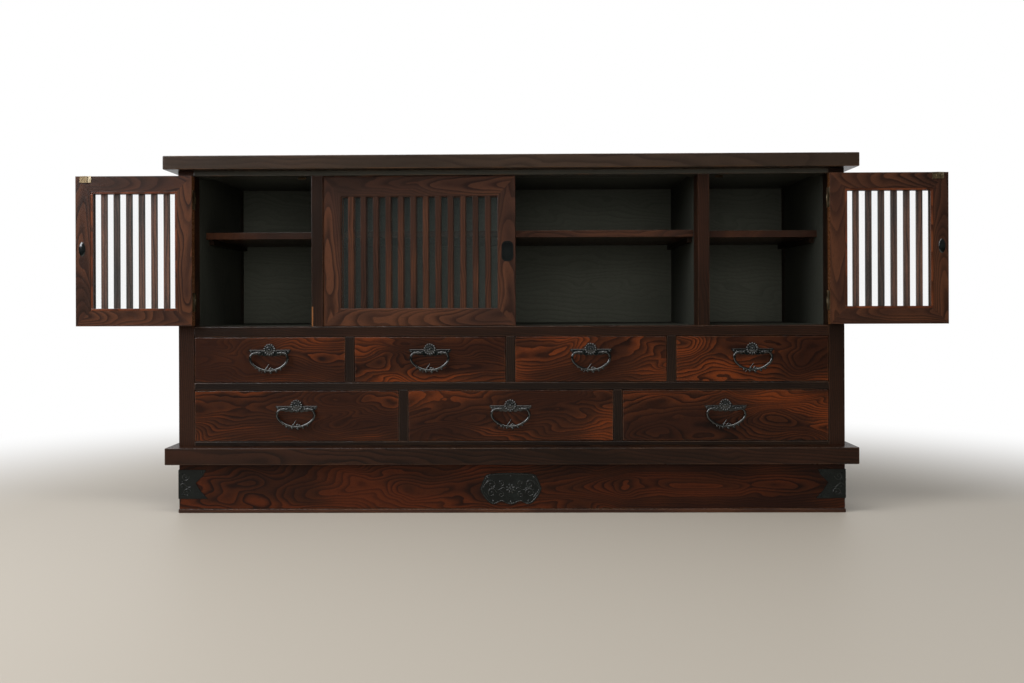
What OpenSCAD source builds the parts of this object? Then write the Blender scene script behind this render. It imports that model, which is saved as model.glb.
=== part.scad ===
// Low sideboard in the manner of a Japanese tansu chest: a waist board and a plinth below two
// rows of drawers, and three bays above them. The two outer bays have hinged lattice doors, drawn
// folded right back. The middle bay has two lattice doors that slide past each other in grooves,
// drawn both slid to the left. Every piece is drawn where it sits at rest.

/* [Top board] */
// Width of the top board
top_w = 1800; // [1500:10:2100]
// Thickness of the top board
top_t = 36; // [24:1:50]
// Distance that the top board stands out at the front and at each end
top_over = 30; // [15:1:45]

/* [Carcass] */
// Depth of the carcass from the front posts' face to the back
carcass_d = 445; // [380:5:520]
// Width of a corner post, seen from the front
post_w = 41; // [36:1:50]
// Depth of a corner post
post_d = 45; // [36:1:60]
// Thickness of a side's outer panel
side_t = 15; // [9:1:20]
// Distance that a side's outer panel lies inside the posts' outer faces
side_inset = 3; // [1:0.5:6]
// Thickness of a side's inner lining
lining_t = 8; // [5:1:12]
// Thickness of the back panel
back_t = 8; // [5:1:12]
// Distance that the back panel lies in from the rear posts' back faces
back_inset = 5; // [2:1:15]
// Width of the hairline left at a glued joint between two pieces
glue_line = 0.1; // [0.05:0.05:0.2]

/* [Front frame] */
// Height of the head rail over the bays
head_h = 14; // [13:1:24]
// Height of the bays' opening
bay_h = 395; // [340:5:460]
// Height of the sill rail under the bays
sill_h = 27; // [20:1:36]
// Height of the upper row's drawer opening
upper_row_h = 120; // [110:1:160]
// Height of the rail between the drawer rows
middle_rail_h = 20; // [14:1:30]
// Height of the lower row's drawer opening
lower_row_h = 134; // [120:1:180]
// Height of the rail under the drawers
lower_rail_h = 13; // [10:1:24]
// Depth of the head and sill rails, which carry both door grooves
track_rail_d = 60; // [54:1:80]
// Depth of the two drawer rails and of the stiles between drawers
rail_d = 25; // [18:1:40]

/* [Bays and shelves] */
// Clear width of the middle bay
middle_bay_w = 980; // [900:5:1060]
// Thickness of the dividers between the bays
divider_t = 30; // [20:1:36]
// Thickness of the shelves
shelf_t = 18; // [12:1:24]
// Height of a shelf's top face over the bay floor
shelf_up = 254; // [200:2:300]
// Distance of the middle shelf's front edge behind the front
middle_shelf_back = 62; // [58:1:110]
// Distance of the outer shelves' front edges behind the front
outer_shelf_back = 95; // [40:1:140]
// Width of the cleats that carry a shelf
cleat_w = 12; // [8:1:18]
// Height of the cleats that carry a shelf
cleat_h = 14; // [10:1:20]
// Distance of a cleat's end behind its shelf's front edge
cleat_back = 24; // [10:1:50]

/* [Drawers] */
// Number of drawers in the upper row
upper_count = 4; // [4:1:4]
// Number of drawers in the lower row
lower_count = 3; // [3:1:3]
// Thickness of the partitions between drawers
partition_t = 23; // [16:1:30]
// Thickness of a drawer front
front_t = 20; // [15:1:25]
// Gap round a drawer front
front_gap = 1; // [0.5:0.1:1.5]
// Distance from a drawer's back to the back panel
box_room = 32; // [20:2:80]
// Thickness of a drawer's sides and back
box_side_t = 11; // [8:1:15]
// Thickness of a drawer's bottom
box_bottom_t = 6; // [4:1:9]
// Height of a drawer's bottom over the lower edges of its sides
box_bottom_up = 6; // [4:1:12]
// Distance of a drawer side's top edge under the opening's top
box_drop = 20; // [12:1:30]
// Running gap under a drawer's sides
box_lift = 0.3; // [0.2:0.1:0.5]
// Depth of the stop block behind each drawer
stop_d = 14; // [8:1:18]
// Height of the stop block behind each drawer
stop_h = 16; // [10:1:30]
// Width of the stop block behind each drawer
stop_w = 50; // [30:5:80]

/* [Hinged doors] */
// Thickness of all four doors
door_t = 20; // [18:0.5:22]
// Gap between a closed hinged door and its post
hinge_gap = 2; // [2:0.1:3]
// Gap between a closed hinged door and the divider
latch_gap = 3; // [2.5:0.1:5]
// Gap under a hinged door
door_low_gap = 3; // [1:0.5:5]
// Gap over a hinged door
door_high_gap = 2; // [1:0.5:4]
// Width of a hinged door's stiles
hinged_stile_w = 45; // [42:1:55]
// Height of a hinged door's rails
hinged_rail_h = 46; // [36:1:60]
// Number of lattice bars in a hinged door
hinged_bars = 6; // [4:1:8]

/* [Sliding doors] */
// Overlap of the two sliding doors when they are closed
slide_overlap = 28; // [10:1:45]
// Width of a sliding door's stiles
sliding_stile_w = 47; // [42:1:60]
// Height of a sliding door's top rail
sliding_top_h = 51; // [36:1:65]
// Height of a sliding door's bottom rail
sliding_bottom_h = 46; // [36:1:65]
// Number of lattice bars in a sliding door
sliding_bars = 12; // [9:1:14]
// Gap between a sliding door's body and the sill
slide_low_gap = 0.8; // [0.5:0.1:1.2]
// Gap between a sliding door's body and the head, by which it lifts out of the lower groove
slide_high_gap = 3.5; // [3.3:0.1:5]
// Distance of the front track's door behind the front
track_back = 4; // [3:0.5:6]
// Gap between the two sliding doors
track_gap = 4; // [2:0.5:6]
// Thickness of the tongues that run in the grooves
tongue_t = 10; // [6:0.5:12]
// Running gap of a tongue in its groove, on each side and at its foot
tongue_fit = 0.3; // [0.2:0.05:0.5]
// Depth of the grooves in the sill
low_groove = 3; // [2:0.5:5]
// Depth of the grooves in the head
high_groove = 12; // [10:0.5:12.5]
// Room over a door's tongue in the head's groove, which lets the door be lifted out
lift_room = 4; // [3:0.5:5]

/* [Door lattice and glass] */
// Width of a lattice bar
bar_w = 15; // [10:0.5:18]
// Depth of a lattice bar
bar_d = 9; // [6:0.5:10]
// Distance of the bars' faces behind the frame's outer face
bar_back = 2; // [1:0.5:3]
// Thickness of the glass
glass_t = 3; // [2:0.5:4]
// Width of the rebate that holds the glass, and of the beads that fill it
rebate_w = 6; // [4:0.5:8]
// Distance of the beads' faces under the frame's inner face
bead_back = 1; // [0.5:0.5:2]

/* [Door ironware] */
// Width of a cup pull over its rim
pull_w = 31; // [26:1:34]
// Height of a cup pull over its rim
pull_h = 53; // [44:1:60]
// Width of a cup pull's rim
pull_rim = 3; // [2:0.5:5]
// Distance that a pull's rim stands out of the wood
pull_rim_t = 1; // [0.6:0.1:1.5]
// Thickness of the cup's wall
pull_wall = 1.2; // [0.8:0.1:1.6]
// Depth of the cup inside
pull_deep = 8; // [6:0.5:9]
// Distance of a pull's middle from its door's edge
pull_in = 21; // [19:0.5:24]
// Width of the oval boss on a hinged door's inner face
boss_w = 19; // [12:1:24]
// Height of the oval boss on a hinged door's inner face
boss_h = 40; // [30:1:50]
// Distance that the oval boss stands out
boss_t = 2.6; // [1.5:0.1:3]
// Distance of the hinge pins in front of the carcass face
pin_out = 3.2; // [3.1:0.05:4]
// Radius of a hinge knuckle
knuckle_r = 2.9; // [2.4:0.05:2.9]
// Radius of a hinge pin
pin_r = 1.25; // [1:0.05:1.5]
// Running gap round a hinge pin
pin_fit = 0.05; // [0.03:0.01:0.08]
// Thickness of the hinge leaves
leaf_t = 0.8; // [0.5:0.05:0.85]
// Distance that the leaves reach back from the front
leaf_d = 17; // [10:1:17]
// Height of a hinge
hinge_h = 50; // [40:1:70]
// Distance of each hinge's middle from the door's upper or lower edge
hinge_in = 62; // [45:1:110]
// Height gap between a hinge's knuckles
knuckle_gap = 0.3; // [0.2:0.05:0.4]
// Width of the brass catch at a hinged door's top corner
catch_w = 30; // [20:1:40]
// Height of the brass catch
catch_h = 17; // [12:1:22]
// Distance that the brass catch stands out of the door's inner face
catch_t = 3; // [2:0.1:3.2]
// Distance of the catch from the door's free edge
catch_in = 12; // [8:1:18]
// Gap between a closed door's catch and its strike
strike_gap = 0.3; // [0.2:0.05:0.5]
// Thickness of the strike's plate
strike_t = 1.2; // [0.8:0.1:2]
// Width of the strike
strike_w = 21; // [16:1:26]
// Height of the strike's blade under the head rail
strike_h = 6.5; // [5:0.5:9]
// Depth of the strike's foot
strike_d = 12; // [8:1:18]

/* [Drawer handles] */
// Width of a handle's back plate
plate_w = 111; // [100:1:130]
// Height of the back plate's bar
plate_bar_h = 11.5; // [9:0.5:15]
// Height of the bar's upper edge over the bail's pivot
plate_bar_up = 8; // [6:0.5:10]
// Thickness of a back plate
plate_t = 1.6; // [1:0.1:2.5]
// Radius of the rosette's ring of lobes, measured to their centres
rosette_r = 10; // [8:0.5:12]
// Radius of each lobe of the rosette
rosette_lobe_r = 4.2; // [3.5:0.1:5]
// Number of lobes round the rosette
rosette_lobes = 8; // [6:1:12]
// Height of the rosette's middle over the bail's pivot
rosette_up = 8.5; // [6:0.5:12]
// Height of the bail's pivot over the middle of the drawer front
pivot_up = 18; // [8:1:26]
// Distance of the bail's pivot in front of the drawer front
pivot_out = 9; // [8:0.5:12]
// Distance of each ear's middle from the handle's middle
ear_x = 30.5; // [27:0.5:30.5]
// Width of an ear
ear_w = 6; // [4:0.5:7]
// Outer radius of an ear's eye
ear_r = 4.4; // [4:0.1:5.5]
// Radius of the bail's rod
rod_r = 2.4; // [2:0.1:3]
// Running gap of the bail's ends in the ears
ear_fit = 0.08; // [0.03:0.01:0.09]
// Gap between the bail and each side of an ear
ear_gap = 0.3; // [0.2:0.05:0.4]
// Half of the bail's greatest width, to the middle of its rod
bail_half_w = 49; // [48:0.5:54]
// Height from the pivot down to the middle of the bail's lowest stretch
bail_drop = 47; // [44:0.5:56]
// Radius of the bail's upper bends
bail_shoulder_r = 13; // [11:0.5:13]
// Radius of the bail's side bends
bail_side_r = 22; // [18:0.5:26]
// Radius of the leaf beads under the bail
leaf_bead_r = 3.2; // [2.8:0.1:4]
// Height of the sprout that rises from the middle of the bail
sprout_h = 13; // [8:0.5:16]
// Radius of the nails' domed heads
nail_r = 2.4; // [1.8:0.1:3]
// Height of the nails' domed heads
nail_h = 1.4; // [0.8:0.1:1.8]

/* [Waist board and plinth] */
// Thickness of the waist board
waist_t = 44; // [30:1:55]
// Distance that the waist board stands out at the front and at each end
waist_over = 28; // [12:1:40]
// Height of the plinth, from the floor to the waist board
plinth_h = 130; // [110:2:180]
// Thickness of the plinth's boards
plinth_board_t = 20; // [15:1:30]
// Height of the sole frame under the plinth's boards
sole_h = 11; // [8:1:18]
// Width of the sole frame's pieces
sole_w = 45; // [35:1:60]
// Distance that the sole frame stands out of the boards
sole_over = 2; // [1:0.5:4]

/* [Plinth irons] */
// Thickness of the irons on the plinth
iron_t = 1.6; // [1:0.1:2.5]
// Width of the iron at the plinth's middle
centre_iron_w = 166; // [120:1:200]
// Height of the iron at the plinth's middle
centre_iron_h = 78; // [60:1:90]
// Distance of the middle iron under the middle of the plinth's front board
centre_iron_drop = 7; // [0:1:10]
// Width of a corner iron on each face
corner_iron_w = 76; // [50:1:100]
// Height of a corner iron
corner_iron_h = 76; // [50:1:90]
// Distance of the corner irons over the middle of the plinth's front board
corner_iron_up = 5; // [0:1:10]
// Height of the raised boss in the middle iron
centre_boss_t = 1.4; // [0.6:0.1:2.5]

/* [Hidden] */
$fn = 64;
DOOR_SIDES = ["left", "right"];
HINGED_PIECES = ["frame", "lattice", "glass", "pull", "brassware"];
SLIDING_PIECES = ["frame", "lattice", "glass", "pull"];
DRAWER_PIECES = ["front", "box", "handle_plate", "bail"];

// Half widths from the middle plane
carcass_x = top_w / 2 - top_over;
inner_x = carcass_x - post_w;
divider_in = middle_bay_w / 2;
divider_out = divider_in + divider_t;

// Heights from the floor, in order upwards
waist_top = plinth_h + waist_t;
lower_row_z = waist_top + lower_rail_h;
middle_rail_z = lower_row_z + lower_row_h;
upper_row_z = middle_rail_z + middle_rail_h;
sill_z = upper_row_z + upper_row_h;
bay_z = sill_z + sill_h;
head_z = bay_z + bay_h;
carcass_top = head_z + head_h;
shelf_top = bay_z + shelf_up;

// Depths behind the front posts' face
inside_d = carcass_d - back_inset - back_t;
box_d = inside_d - front_t - box_room;
rear_post_y = carcass_d - post_d;

// Hinged doors, in the closed position
hinged_w = inner_x - divider_out - hinge_gap - latch_gap;
hinged_h = bay_h - door_low_gap - door_high_gap;
hinged_z = bay_z + door_low_gap;
pin_x = -inner_x + pin_out;
pin_y = -pin_out;

// Sliding doors
sliding_w = (middle_bay_w + slide_overlap) / 2;
sliding_h = bay_h - slide_low_gap - slide_high_gap;
sliding_z = bay_z + slide_low_gap;
front_track_y = track_back;
rear_track_y = track_back + door_t + track_gap;
sliding_rest_x = -divider_in + tongue_fit;

// The glass lies against the back of the lattice
glass_y = bar_back + bar_d;
bead_y = glass_y + glass_t;
bead_d = door_t - bead_back - bead_y;

// Catches and strikes
catch_y = door_t + catch_t;
strike_y = catch_y + strike_gap;

// Front-most face, which with the back sets the middle of the depth
door_reach = 2 * pin_out + door_t + max(catch_t, boss_t);
front_reach = max(top_over, waist_over, door_reach, pivot_out + ear_r);
front_y = -(carcass_d + front_reach) / 2 + front_reach;

// Plinth irons
plinth_mid_z = (plinth_h + sole_h) / 2;
centre_iron_z = plinth_mid_z - centre_iron_drop;
corner_iron_z = plinth_mid_z + corner_iron_up;

// Drawer rows
function row_w(count) = (2 * inner_x - (count - 1) * partition_t) / count;
function row_x(count, i) = -inner_x + (row_w(count) + partition_t) * (i - 1) + row_w(count) / 2;

// The bail's lowest stretch is an arc that meets both side bends without a kink
bail_side_z = bail_drop - bail_shoulder_r;
bail_side_x = bail_half_w - bail_side_r;
bail_low_r = (pow(bail_side_x, 2) + pow(bail_side_z, 2) - pow(bail_side_r, 2))
    / (2 * (bail_side_z - bail_side_r));
bail_low_z = -bail_drop + bail_low_r;
bail_turn = atan2(bail_low_z + bail_shoulder_r, bail_side_x);
rod_end_r = rod_r - ear_fit;
ball_r = rod_r * 1.35;
collar_r = rod_r * 1.1;

// Finishes
RED_LACQUER = "#4A2415";
DARK_LACQUER = "#2C1B12";
STAINED = "#23241E";
PALE_WOOD = "#A98A62";
IRON = "#1E2221";
BRASS = "#A5894F";
GLASS = "#C9D6D24D";

// Puts the front posts' face at its place, so that the origin is under the middle of the whole
module at_front() translate([0, front_y, 0]) children();

module both_sides() {
    children();
    mirror([1, 0, 0]) children();
}

// A board from its limits along X, Y and Z
module board(x, y, z) {
    translate([x[0], y[0], z[0]]) cube([x[1] - x[0], y[1] - y[0], z[1] - z[0]]);
}

// A flat plate with the given outline, standing in the XZ plane with its back at Y = 0
module upright_plate(t) {
    rotate([90, 0, 0]) linear_extrude(t) children();
}

// A rounded rectangle about the origin
module rounded_rect(w, h, r) {
    square([w - 2 * r, h], center = true);
    square([w, h - 2 * r], center = true);
    for (x = [-1, 1], y = [-1, 1]) translate([x * (w / 2 - r), y * (h / 2 - r)]) circle(r);
}

// An upright slot shape about the origin, round at both ends
module long_oval(w, h) {
    square([w, h - w], center = true);
    for (y = [-1, 1]) translate([0, y * (h - w) / 2]) circle(w / 2);
}

// The domed head of a nail, on a face that looks along -Y
module nail_head() {
    dome_r = (pow(nail_r, 2) + pow(nail_h, 2)) / (2 * nail_h);
    translate([0, -glue_line, 0]) intersection() {
        translate([0, dome_r - nail_h, 0]) sphere(dome_r);
        board([-nail_r, nail_r], [-nail_h, 0], [-nail_r, nail_r]);
    }
}

// Carcass

module top_board() color(DARK_LACQUER) at_front()
    board([-top_w / 2, top_w / 2], [-top_over, carcass_d], [carcass_top, carcass_top + top_t]);

module corner_posts() color(DARK_LACQUER) at_front() both_sides() {
    board([inner_x, carcass_x], [0, post_d], [waist_top, carcass_top]);
    board([inner_x, carcass_x], [rear_post_y, carcass_d], [waist_top, carcass_top]);
}

module side_panels() color(DARK_LACQUER) at_front() both_sides() {
    outer_x = carcass_x - side_inset;
    board([outer_x - side_t, outer_x], [post_d, rear_post_y], [waist_top, carcass_top]);
    board([inner_x, inner_x + lining_t], [post_d, rear_post_y], [waist_top, carcass_top]);
}

module back_panel() color(STAINED) at_front()
    board([-inner_x, inner_x], [inside_d, inside_d + back_t], [waist_top, carcass_top]);

// The tracks of the two sliding doors, cut from z0 to z1 through the middle bay
module track_grooves(z0, z1) {
    groove_w = tongue_t + 2 * tongue_fit;
    for (y = [front_track_y, rear_track_y])
        board([-divider_in, divider_in], [y + (door_t - groove_w) / 2, y + (door_t + groove_w) / 2],
              [z0, z1]);
}

module front_rails() color(DARK_LACQUER) at_front() {
    board([-inner_x, inner_x], [0, rail_d], [waist_top, lower_row_z]);
    board([-inner_x, inner_x], [0, rail_d], [middle_rail_z, upper_row_z]);
    difference() {
        board([-inner_x, inner_x], [0, track_rail_d], [sill_z, bay_z]);
        track_grooves(bay_z - low_groove, bay_z + 1);
    }
    difference() {
        board([-inner_x, inner_x], [0, track_rail_d], [head_z, carcass_top]);
        track_grooves(head_z - 1, head_z + high_groove);
    }
}

// Each divider is a front stile between the rails, and a panel behind it up to the top board
module bay_dividers() color(DARK_LACQUER) at_front() both_sides() {
    board([divider_in, divider_out], [0, track_rail_d], [bay_z, head_z]);
    board([divider_in, divider_out], [track_rail_d + glue_line, inside_d], [bay_z, carcass_top]);
}

// A shelf between two walls, with a cleat under each end
module shelf(x0, x1, y0) {
    board([x0, x1], [y0, inside_d], [shelf_top - shelf_t, shelf_top]);
    cleat_top = shelf_top - shelf_t - glue_line;
    for (x = [x0, x1 - cleat_w])
        board([x, x + cleat_w], [y0 + cleat_back, inside_d], [cleat_top - cleat_h, cleat_top]);
}

module bay_shelves() color(DARK_LACQUER) at_front() {
    shelf(-divider_in, divider_in, middle_shelf_back);
    shelf(-inner_x, -divider_out, outer_shelf_back);
    shelf(divider_out, inner_x, outer_shelf_back);
}

// A stile between two drawers and the guide board behind it
module drawer_partition(x, z0, z1) {
    half = partition_t / 2;
    board([x - half, x + half], [0, rail_d], [z0, z1]);
    board([x - half, x + half], [rail_d + glue_line, inside_d], [z0, z1]);
}

module row_partitions(count, z0, z1) {
    for (i = [1:count - 1])
        drawer_partition(row_x(count, i) + (row_w(count) + partition_t) / 2, z0, z1);
}

module drawer_partitions() color(DARK_LACQUER) at_front() {
    row_partitions(upper_count, upper_row_z, sill_z);
    row_partitions(lower_count, lower_row_z, middle_rail_z);
}

// Blocks behind the drawers of a row, which stop them flush with the front
module drawer_stops(count, z) {
    y = front_t + box_d + box_lift;
    for (i = [1:count])
        translate([row_x(count, i), 0, 0])
            board([-stop_w / 2, stop_w / 2], [y, y + stop_d], [z + glue_line, z + stop_h]);
}

// Boards as thick as their rails, which floor the bays and carry the drawers
module dust_boards() color(STAINED) at_front() {
    board([-inner_x, inner_x], [track_rail_d, inside_d], [sill_z, bay_z]);
    board([-inner_x, inner_x], [rail_d, inside_d], [middle_rail_z, upper_row_z]);
    board([-inner_x, inner_x], [rail_d, inside_d], [waist_top, lower_row_z]);
    drawer_stops(upper_count, upper_row_z);
    drawer_stops(lower_count, lower_row_z);
}

module waist_board() color(DARK_LACQUER) at_front() {
    x = carcass_x + waist_over;
    board([-x, x], [-waist_over, carcass_d], [plinth_h, waist_top]);
}

// Front and back boards over the whole width, with ends and a middle bearer between them
module plinth_boards() color(RED_LACQUER) at_front() {
    t = plinth_board_t;
    between = [t + glue_line, carcass_d - t - glue_line];
    board([-carcass_x, carcass_x], [0, t], [sole_h, plinth_h]);
    board([-carcass_x, carcass_x], [carcass_d - t, carcass_d], [sole_h, plinth_h]);
    both_sides() board([carcass_x - t, carcass_x], between, [sole_h, plinth_h]);
    board([-t / 2, t / 2], between, [sole_h, plinth_h]);
}

// The frame that the plinth's boards stand on, and that rests on the floor
module plinth_sole() color(RED_LACQUER) at_front() {
    x = carcass_x + sole_over;
    front = [-sole_over, sole_w - sole_over];
    back = [carcass_d - sole_w, carcass_d];
    between = [front[1] + glue_line, back[0] - glue_line];
    board([-x, x], front, [0, sole_h]);
    board([-x, x], back, [0, sole_h]);
    both_sides() board([x - sole_w, x], between, [0, sole_h]);
    board([-sole_w / 2, sole_w / 2], between, [0, sole_h]);
}

// Plinth irons

// A long shield with a point at each end and lobes along its upper and lower edges
module centre_iron_outline() {
    w = centre_iron_w;
    h = centre_iron_h;
    polygon([[-w / 2, 0], [-0.42 * w, 0.34 * h], [0.42 * w, 0.34 * h],
             [w / 2, 0], [0.42 * w, -0.34 * h], [-0.42 * w, -0.34 * h]]);
    for (y = [-1, 1]) {
        translate([0, y * 0.28 * h]) circle(0.22 * h);
        for (x = [-1, 1]) {
            translate([x * 0.2 * w, y * 0.28 * h]) circle(0.16 * h);
            translate([x * 0.36 * w, y * 0.26 * h]) circle(0.19 * h);
        }
    }
}

// A corner iron's outline on one face, with its straight edge at X = 0 and a notch opposite
module corner_iron_outline() {
    w = corner_iron_w;
    h = corner_iron_h;
    polygon([[iron_t, -h / 2], [iron_t, h / 2], [-0.94 * w, h / 2], [-0.84 * w, 0.3 * h],
             [-0.58 * w, 0.04 * h], [-0.76 * w, -0.24 * h], [-w, -h / 2]]);
}

// The places of the nails in the middle iron and in one face of a corner iron
CENTRE_NAILS = [for (x = [-0.42, -0.15, 0.15, 0.42], z = [-0.26, 0.26])
    [x * centre_iron_w, z * centre_iron_h]];
CORNER_NAILS = [for (p = [[-0.12, 0.36], [-0.12, -0.36], [-0.12, 0.08], [-0.12, -0.1],
                          [-0.8, 0.4], [-0.85, -0.4]])
    [p[0] * corner_iron_w, p[1] * corner_iron_h]];

module corner_iron() translate([carcass_x, 0, corner_iron_z]) {
    upright_plate(iron_t) corner_iron_outline();
    rotate([0, 0, 90]) mirror([1, 0, 0]) upright_plate(iron_t) corner_iron_outline();
    for (p = CORNER_NAILS) {
        translate([p[0], -iron_t, p[1]]) nail_head();
        translate([iron_t, -p[0], p[1]]) rotate([0, 0, 90]) nail_head();
    }
}

module plinth_irons() color(IRON) at_front() {
    both_sides() corner_iron();
    translate([0, 0, centre_iron_z]) {
        upright_plate(iron_t) centre_iron_outline();
        translate([0, -iron_t, 0]) upright_plate(centre_boss_t) circle(0.15 * centre_iron_h);
        for (p = CENTRE_NAILS) translate([p[0], -iron_t, p[1]]) nail_head();
    }
}

// Doors, drawn with the outer face at Y = 0 and one lower corner at the origin

module tongue(x, z) board(x, [(door_t - tongue_t) / 2, (door_t + tongue_t) / 2], z);

// Stiles over the whole height, rails between them, a rebate round the window's inner side, and
// the beads that hold the glass in it
module door_frame(w, h, stile_w, top_h, bottom_h, low_tongue = 0, high_tongue = 0) {
    rail_x = [stile_w + glue_line, w - stile_w - glue_line];
    rebate_x = [stile_w - rebate_w, w - stile_w + rebate_w];
    rebate_z = [bottom_h - rebate_w, h - top_h + rebate_w];
    difference() {
        union() {
            for (x = [[0, stile_w], [w - stile_w, w]]) {
                board(x, [0, door_t], [0, h]);
                if (low_tongue > 0) tongue(x, [-low_tongue, 0]);
                if (high_tongue > 0) tongue(x, [h, h + high_tongue]);
            }
            board(rail_x, [0, door_t], [0, bottom_h]);
            board(rail_x, [0, door_t], [h - top_h, h]);
            if (low_tongue > 0) tongue(rail_x, [-low_tongue, 0]);
            if (high_tongue > 0) tongue(rail_x, [h, h + high_tongue]);
        }
        board(rebate_x, [glass_y, door_t + 1], rebate_z);
    }
    beads(rebate_x + [glue_line, -glue_line], rebate_z + [glue_line, -glue_line]);
}

// Four beads round the inside of the rebate, within the limits x and z
module beads(x, z) {
    b = rebate_w - glue_line;
    y = [bead_y + glue_line, bead_y + bead_d];
    for (low = [z[0], z[1] - b]) board(x, y, [low, low + b]);
    for (left = [x[0], x[1] - b])
        board([left, left + b], y, [z[0] + b + glue_line, z[1] - b - glue_line]);
}

// Upright bars evenly spaced over the window
module door_lattice(w, h, stile_w, top_h, bottom_h, bars) {
    gap = (w - 2 * stile_w - bars * bar_w) / (bars + 1);
    for (i = [0:bars - 1]) {
        x = stile_w + gap + i * (bar_w + gap);
        board([x, x + bar_w], [bar_back, glass_y], [bottom_h, h - top_h]);
    }
}

module door_glass(w, h, stile_w, top_h, bottom_h) {
    reach = rebate_w - glue_line;
    board([stile_w - reach, w - stile_w + reach], [glass_y, bead_y],
          [bottom_h - reach, h - top_h + reach]);
}

// An iron cup let into the wood, open towards -Y, with a rim that lies on the face
module cup_pull() {
    corner = pull_w * 0.42;
    cup_w = pull_w - 2 * pull_rim;
    cup_h = pull_h - 2 * pull_rim;
    difference() {
        union() {
            upright_plate(pull_rim_t) rounded_rect(pull_w, pull_h, corner);
            translate([0, pull_deep + pull_wall, 0]) upright_plate(pull_deep + pull_wall)
                rounded_rect(cup_w + 2 * pull_wall, cup_h + 2 * pull_wall, corner - pull_rim + pull_wall);
        }
        translate([0, pull_deep, 0]) upright_plate(pull_deep + 2 * pull_rim_t)
            rounded_rect(cup_w, cup_h, corner - pull_rim);
    }
}

// The recess in the wood that takes the cup
module pull_recess() {
    grow = 2 * (pull_wall - pull_rim + glue_line);
    translate([0, pull_deep + pull_wall + glue_line, 0]) upright_plate(pull_deep + 3 * pull_wall)
        rounded_rect(pull_w + grow, pull_h + grow, pull_w * 0.42 + grow / 2);
}

module hinged_door_shape(piece) {
    middle = hinged_h / 2;
    pull_x = hinged_w - pull_in;
    if (piece == "frame") difference() {
        door_frame(hinged_w, hinged_h, hinged_stile_w, hinged_rail_h, hinged_rail_h);
        translate([pull_x, 0, middle]) pull_recess();
    }
    if (piece == "lattice")
        door_lattice(hinged_w, hinged_h, hinged_stile_w, hinged_rail_h, hinged_rail_h, hinged_bars);
    if (piece == "glass")
        door_glass(hinged_w, hinged_h, hinged_stile_w, hinged_rail_h, hinged_rail_h);
    if (piece == "pull") {
        translate([pull_x, 0, middle]) cup_pull();
        translate([pull_x, door_t + boss_t, middle]) {
            upright_plate(boss_t) long_oval(boss_w, boss_h);
        }
    }
    if (piece == "brassware") {
        door_catch();
        for (z = [hinge_in, hinged_h - hinge_in]) translate([0, 0, z - hinge_h / 2]) moving_leaf();
    }
}

// A brass plate with a raised tongue that presses on the strike
module door_catch() {
    x = hinged_w - catch_in - catch_w / 2;
    base_t = catch_t * 0.4;
    board([x - catch_w / 2, x + catch_w / 2], [door_t, door_t + base_t], [hinged_h - catch_h, hinged_h]);
    board([x - catch_w / 6, x + catch_w / 6], [door_t + base_t, catch_y], [hinged_h - catch_h, hinged_h]);
}

// Hinges: two outer knuckles on the carcass and a middle one on the door
knuckle_h = hinge_h / 3;

module knuckle(z0, z1) difference() {
    translate([0, 0, z0]) cylinder(r = knuckle_r, h = z1 - z0);
    translate([0, 0, z0 - 1]) cylinder(r = pin_r + pin_fit, h = z1 - z0 + 2);
}

// A leaf whose outer face is at X = 0, with tabs that reach to the pin's line at the given heights,
// and the knuckles that they carry
module leaf(x0, tabs) {
    pin_at = [pin_out - hinge_gap, -pin_out, 0];
    board([x0, x0 + leaf_t], [pin_fit, leaf_d], [0, hinge_h]);
    for (z = tabs) difference() {
        union() {
            board([x0, x0 + leaf_t], [-pin_out, pin_fit], z);
            translate(pin_at) translate([0, 0, z[0]]) cylinder(r = knuckle_r, h = z[1] - z[0]);
        }
        translate(pin_at) translate([0, 0, z[0] - 1]) cylinder(r = pin_r + pin_fit, h = z[1] - z[0] + 2);
    }
}

// Both leaves are drawn from the closed door's hinge edge
module moving_leaf() leaf(-leaf_t, [[knuckle_h + knuckle_gap, 2 * knuckle_h - knuckle_gap]]);

module fixed_leaf() {
    leaf(-hinge_gap, [[0, knuckle_h], [2 * knuckle_h, hinge_h]]);
    translate([pin_out - hinge_gap, -pin_out, 0]) cylinder(r = pin_r, h = hinge_h);
}

// An angle under the head rail behind the closed door's catch
module strike() {
    x = -divider_out - latch_gap - catch_in - catch_w / 2;
    side = [x - strike_w / 2, x + strike_w / 2];
    board(side, [strike_y, strike_y + strike_t], [head_z - strike_h, head_z]);
    board(side, [strike_y, strike_y + strike_d], [head_z - strike_t, head_z]);
}

module hinge_leaves_and_strikes() color(BRASS) at_front() both_sides() {
    for (z = [hinge_in, hinged_h - hinge_in])
        translate([-inner_x + hinge_gap, 0, hinged_z + z - hinge_h / 2]) fixed_leaf();
    strike();
}

function piece_colour(piece) =
    piece == "frame" ? RED_LACQUER
    : piece == "lattice" ? DARK_LACQUER
    : piece == "glass" ? GLASS
    : piece == "pull" ? IRON
    : BRASS;

// A hinged door turned half a turn about its pins, so that it lies folded back beside the bay
module hinged_door(side, piece) color(piece_colour(piece)) at_front()
    mirror([side == "right" ? 1 : 0, 0, 0])
        translate([pin_x, pin_y, 0]) rotate([0, 0, 180]) translate([-pin_x, -pin_y, 0])
            translate([-inner_x + hinge_gap, 0, hinged_z]) hinged_door_shape(piece);

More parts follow.
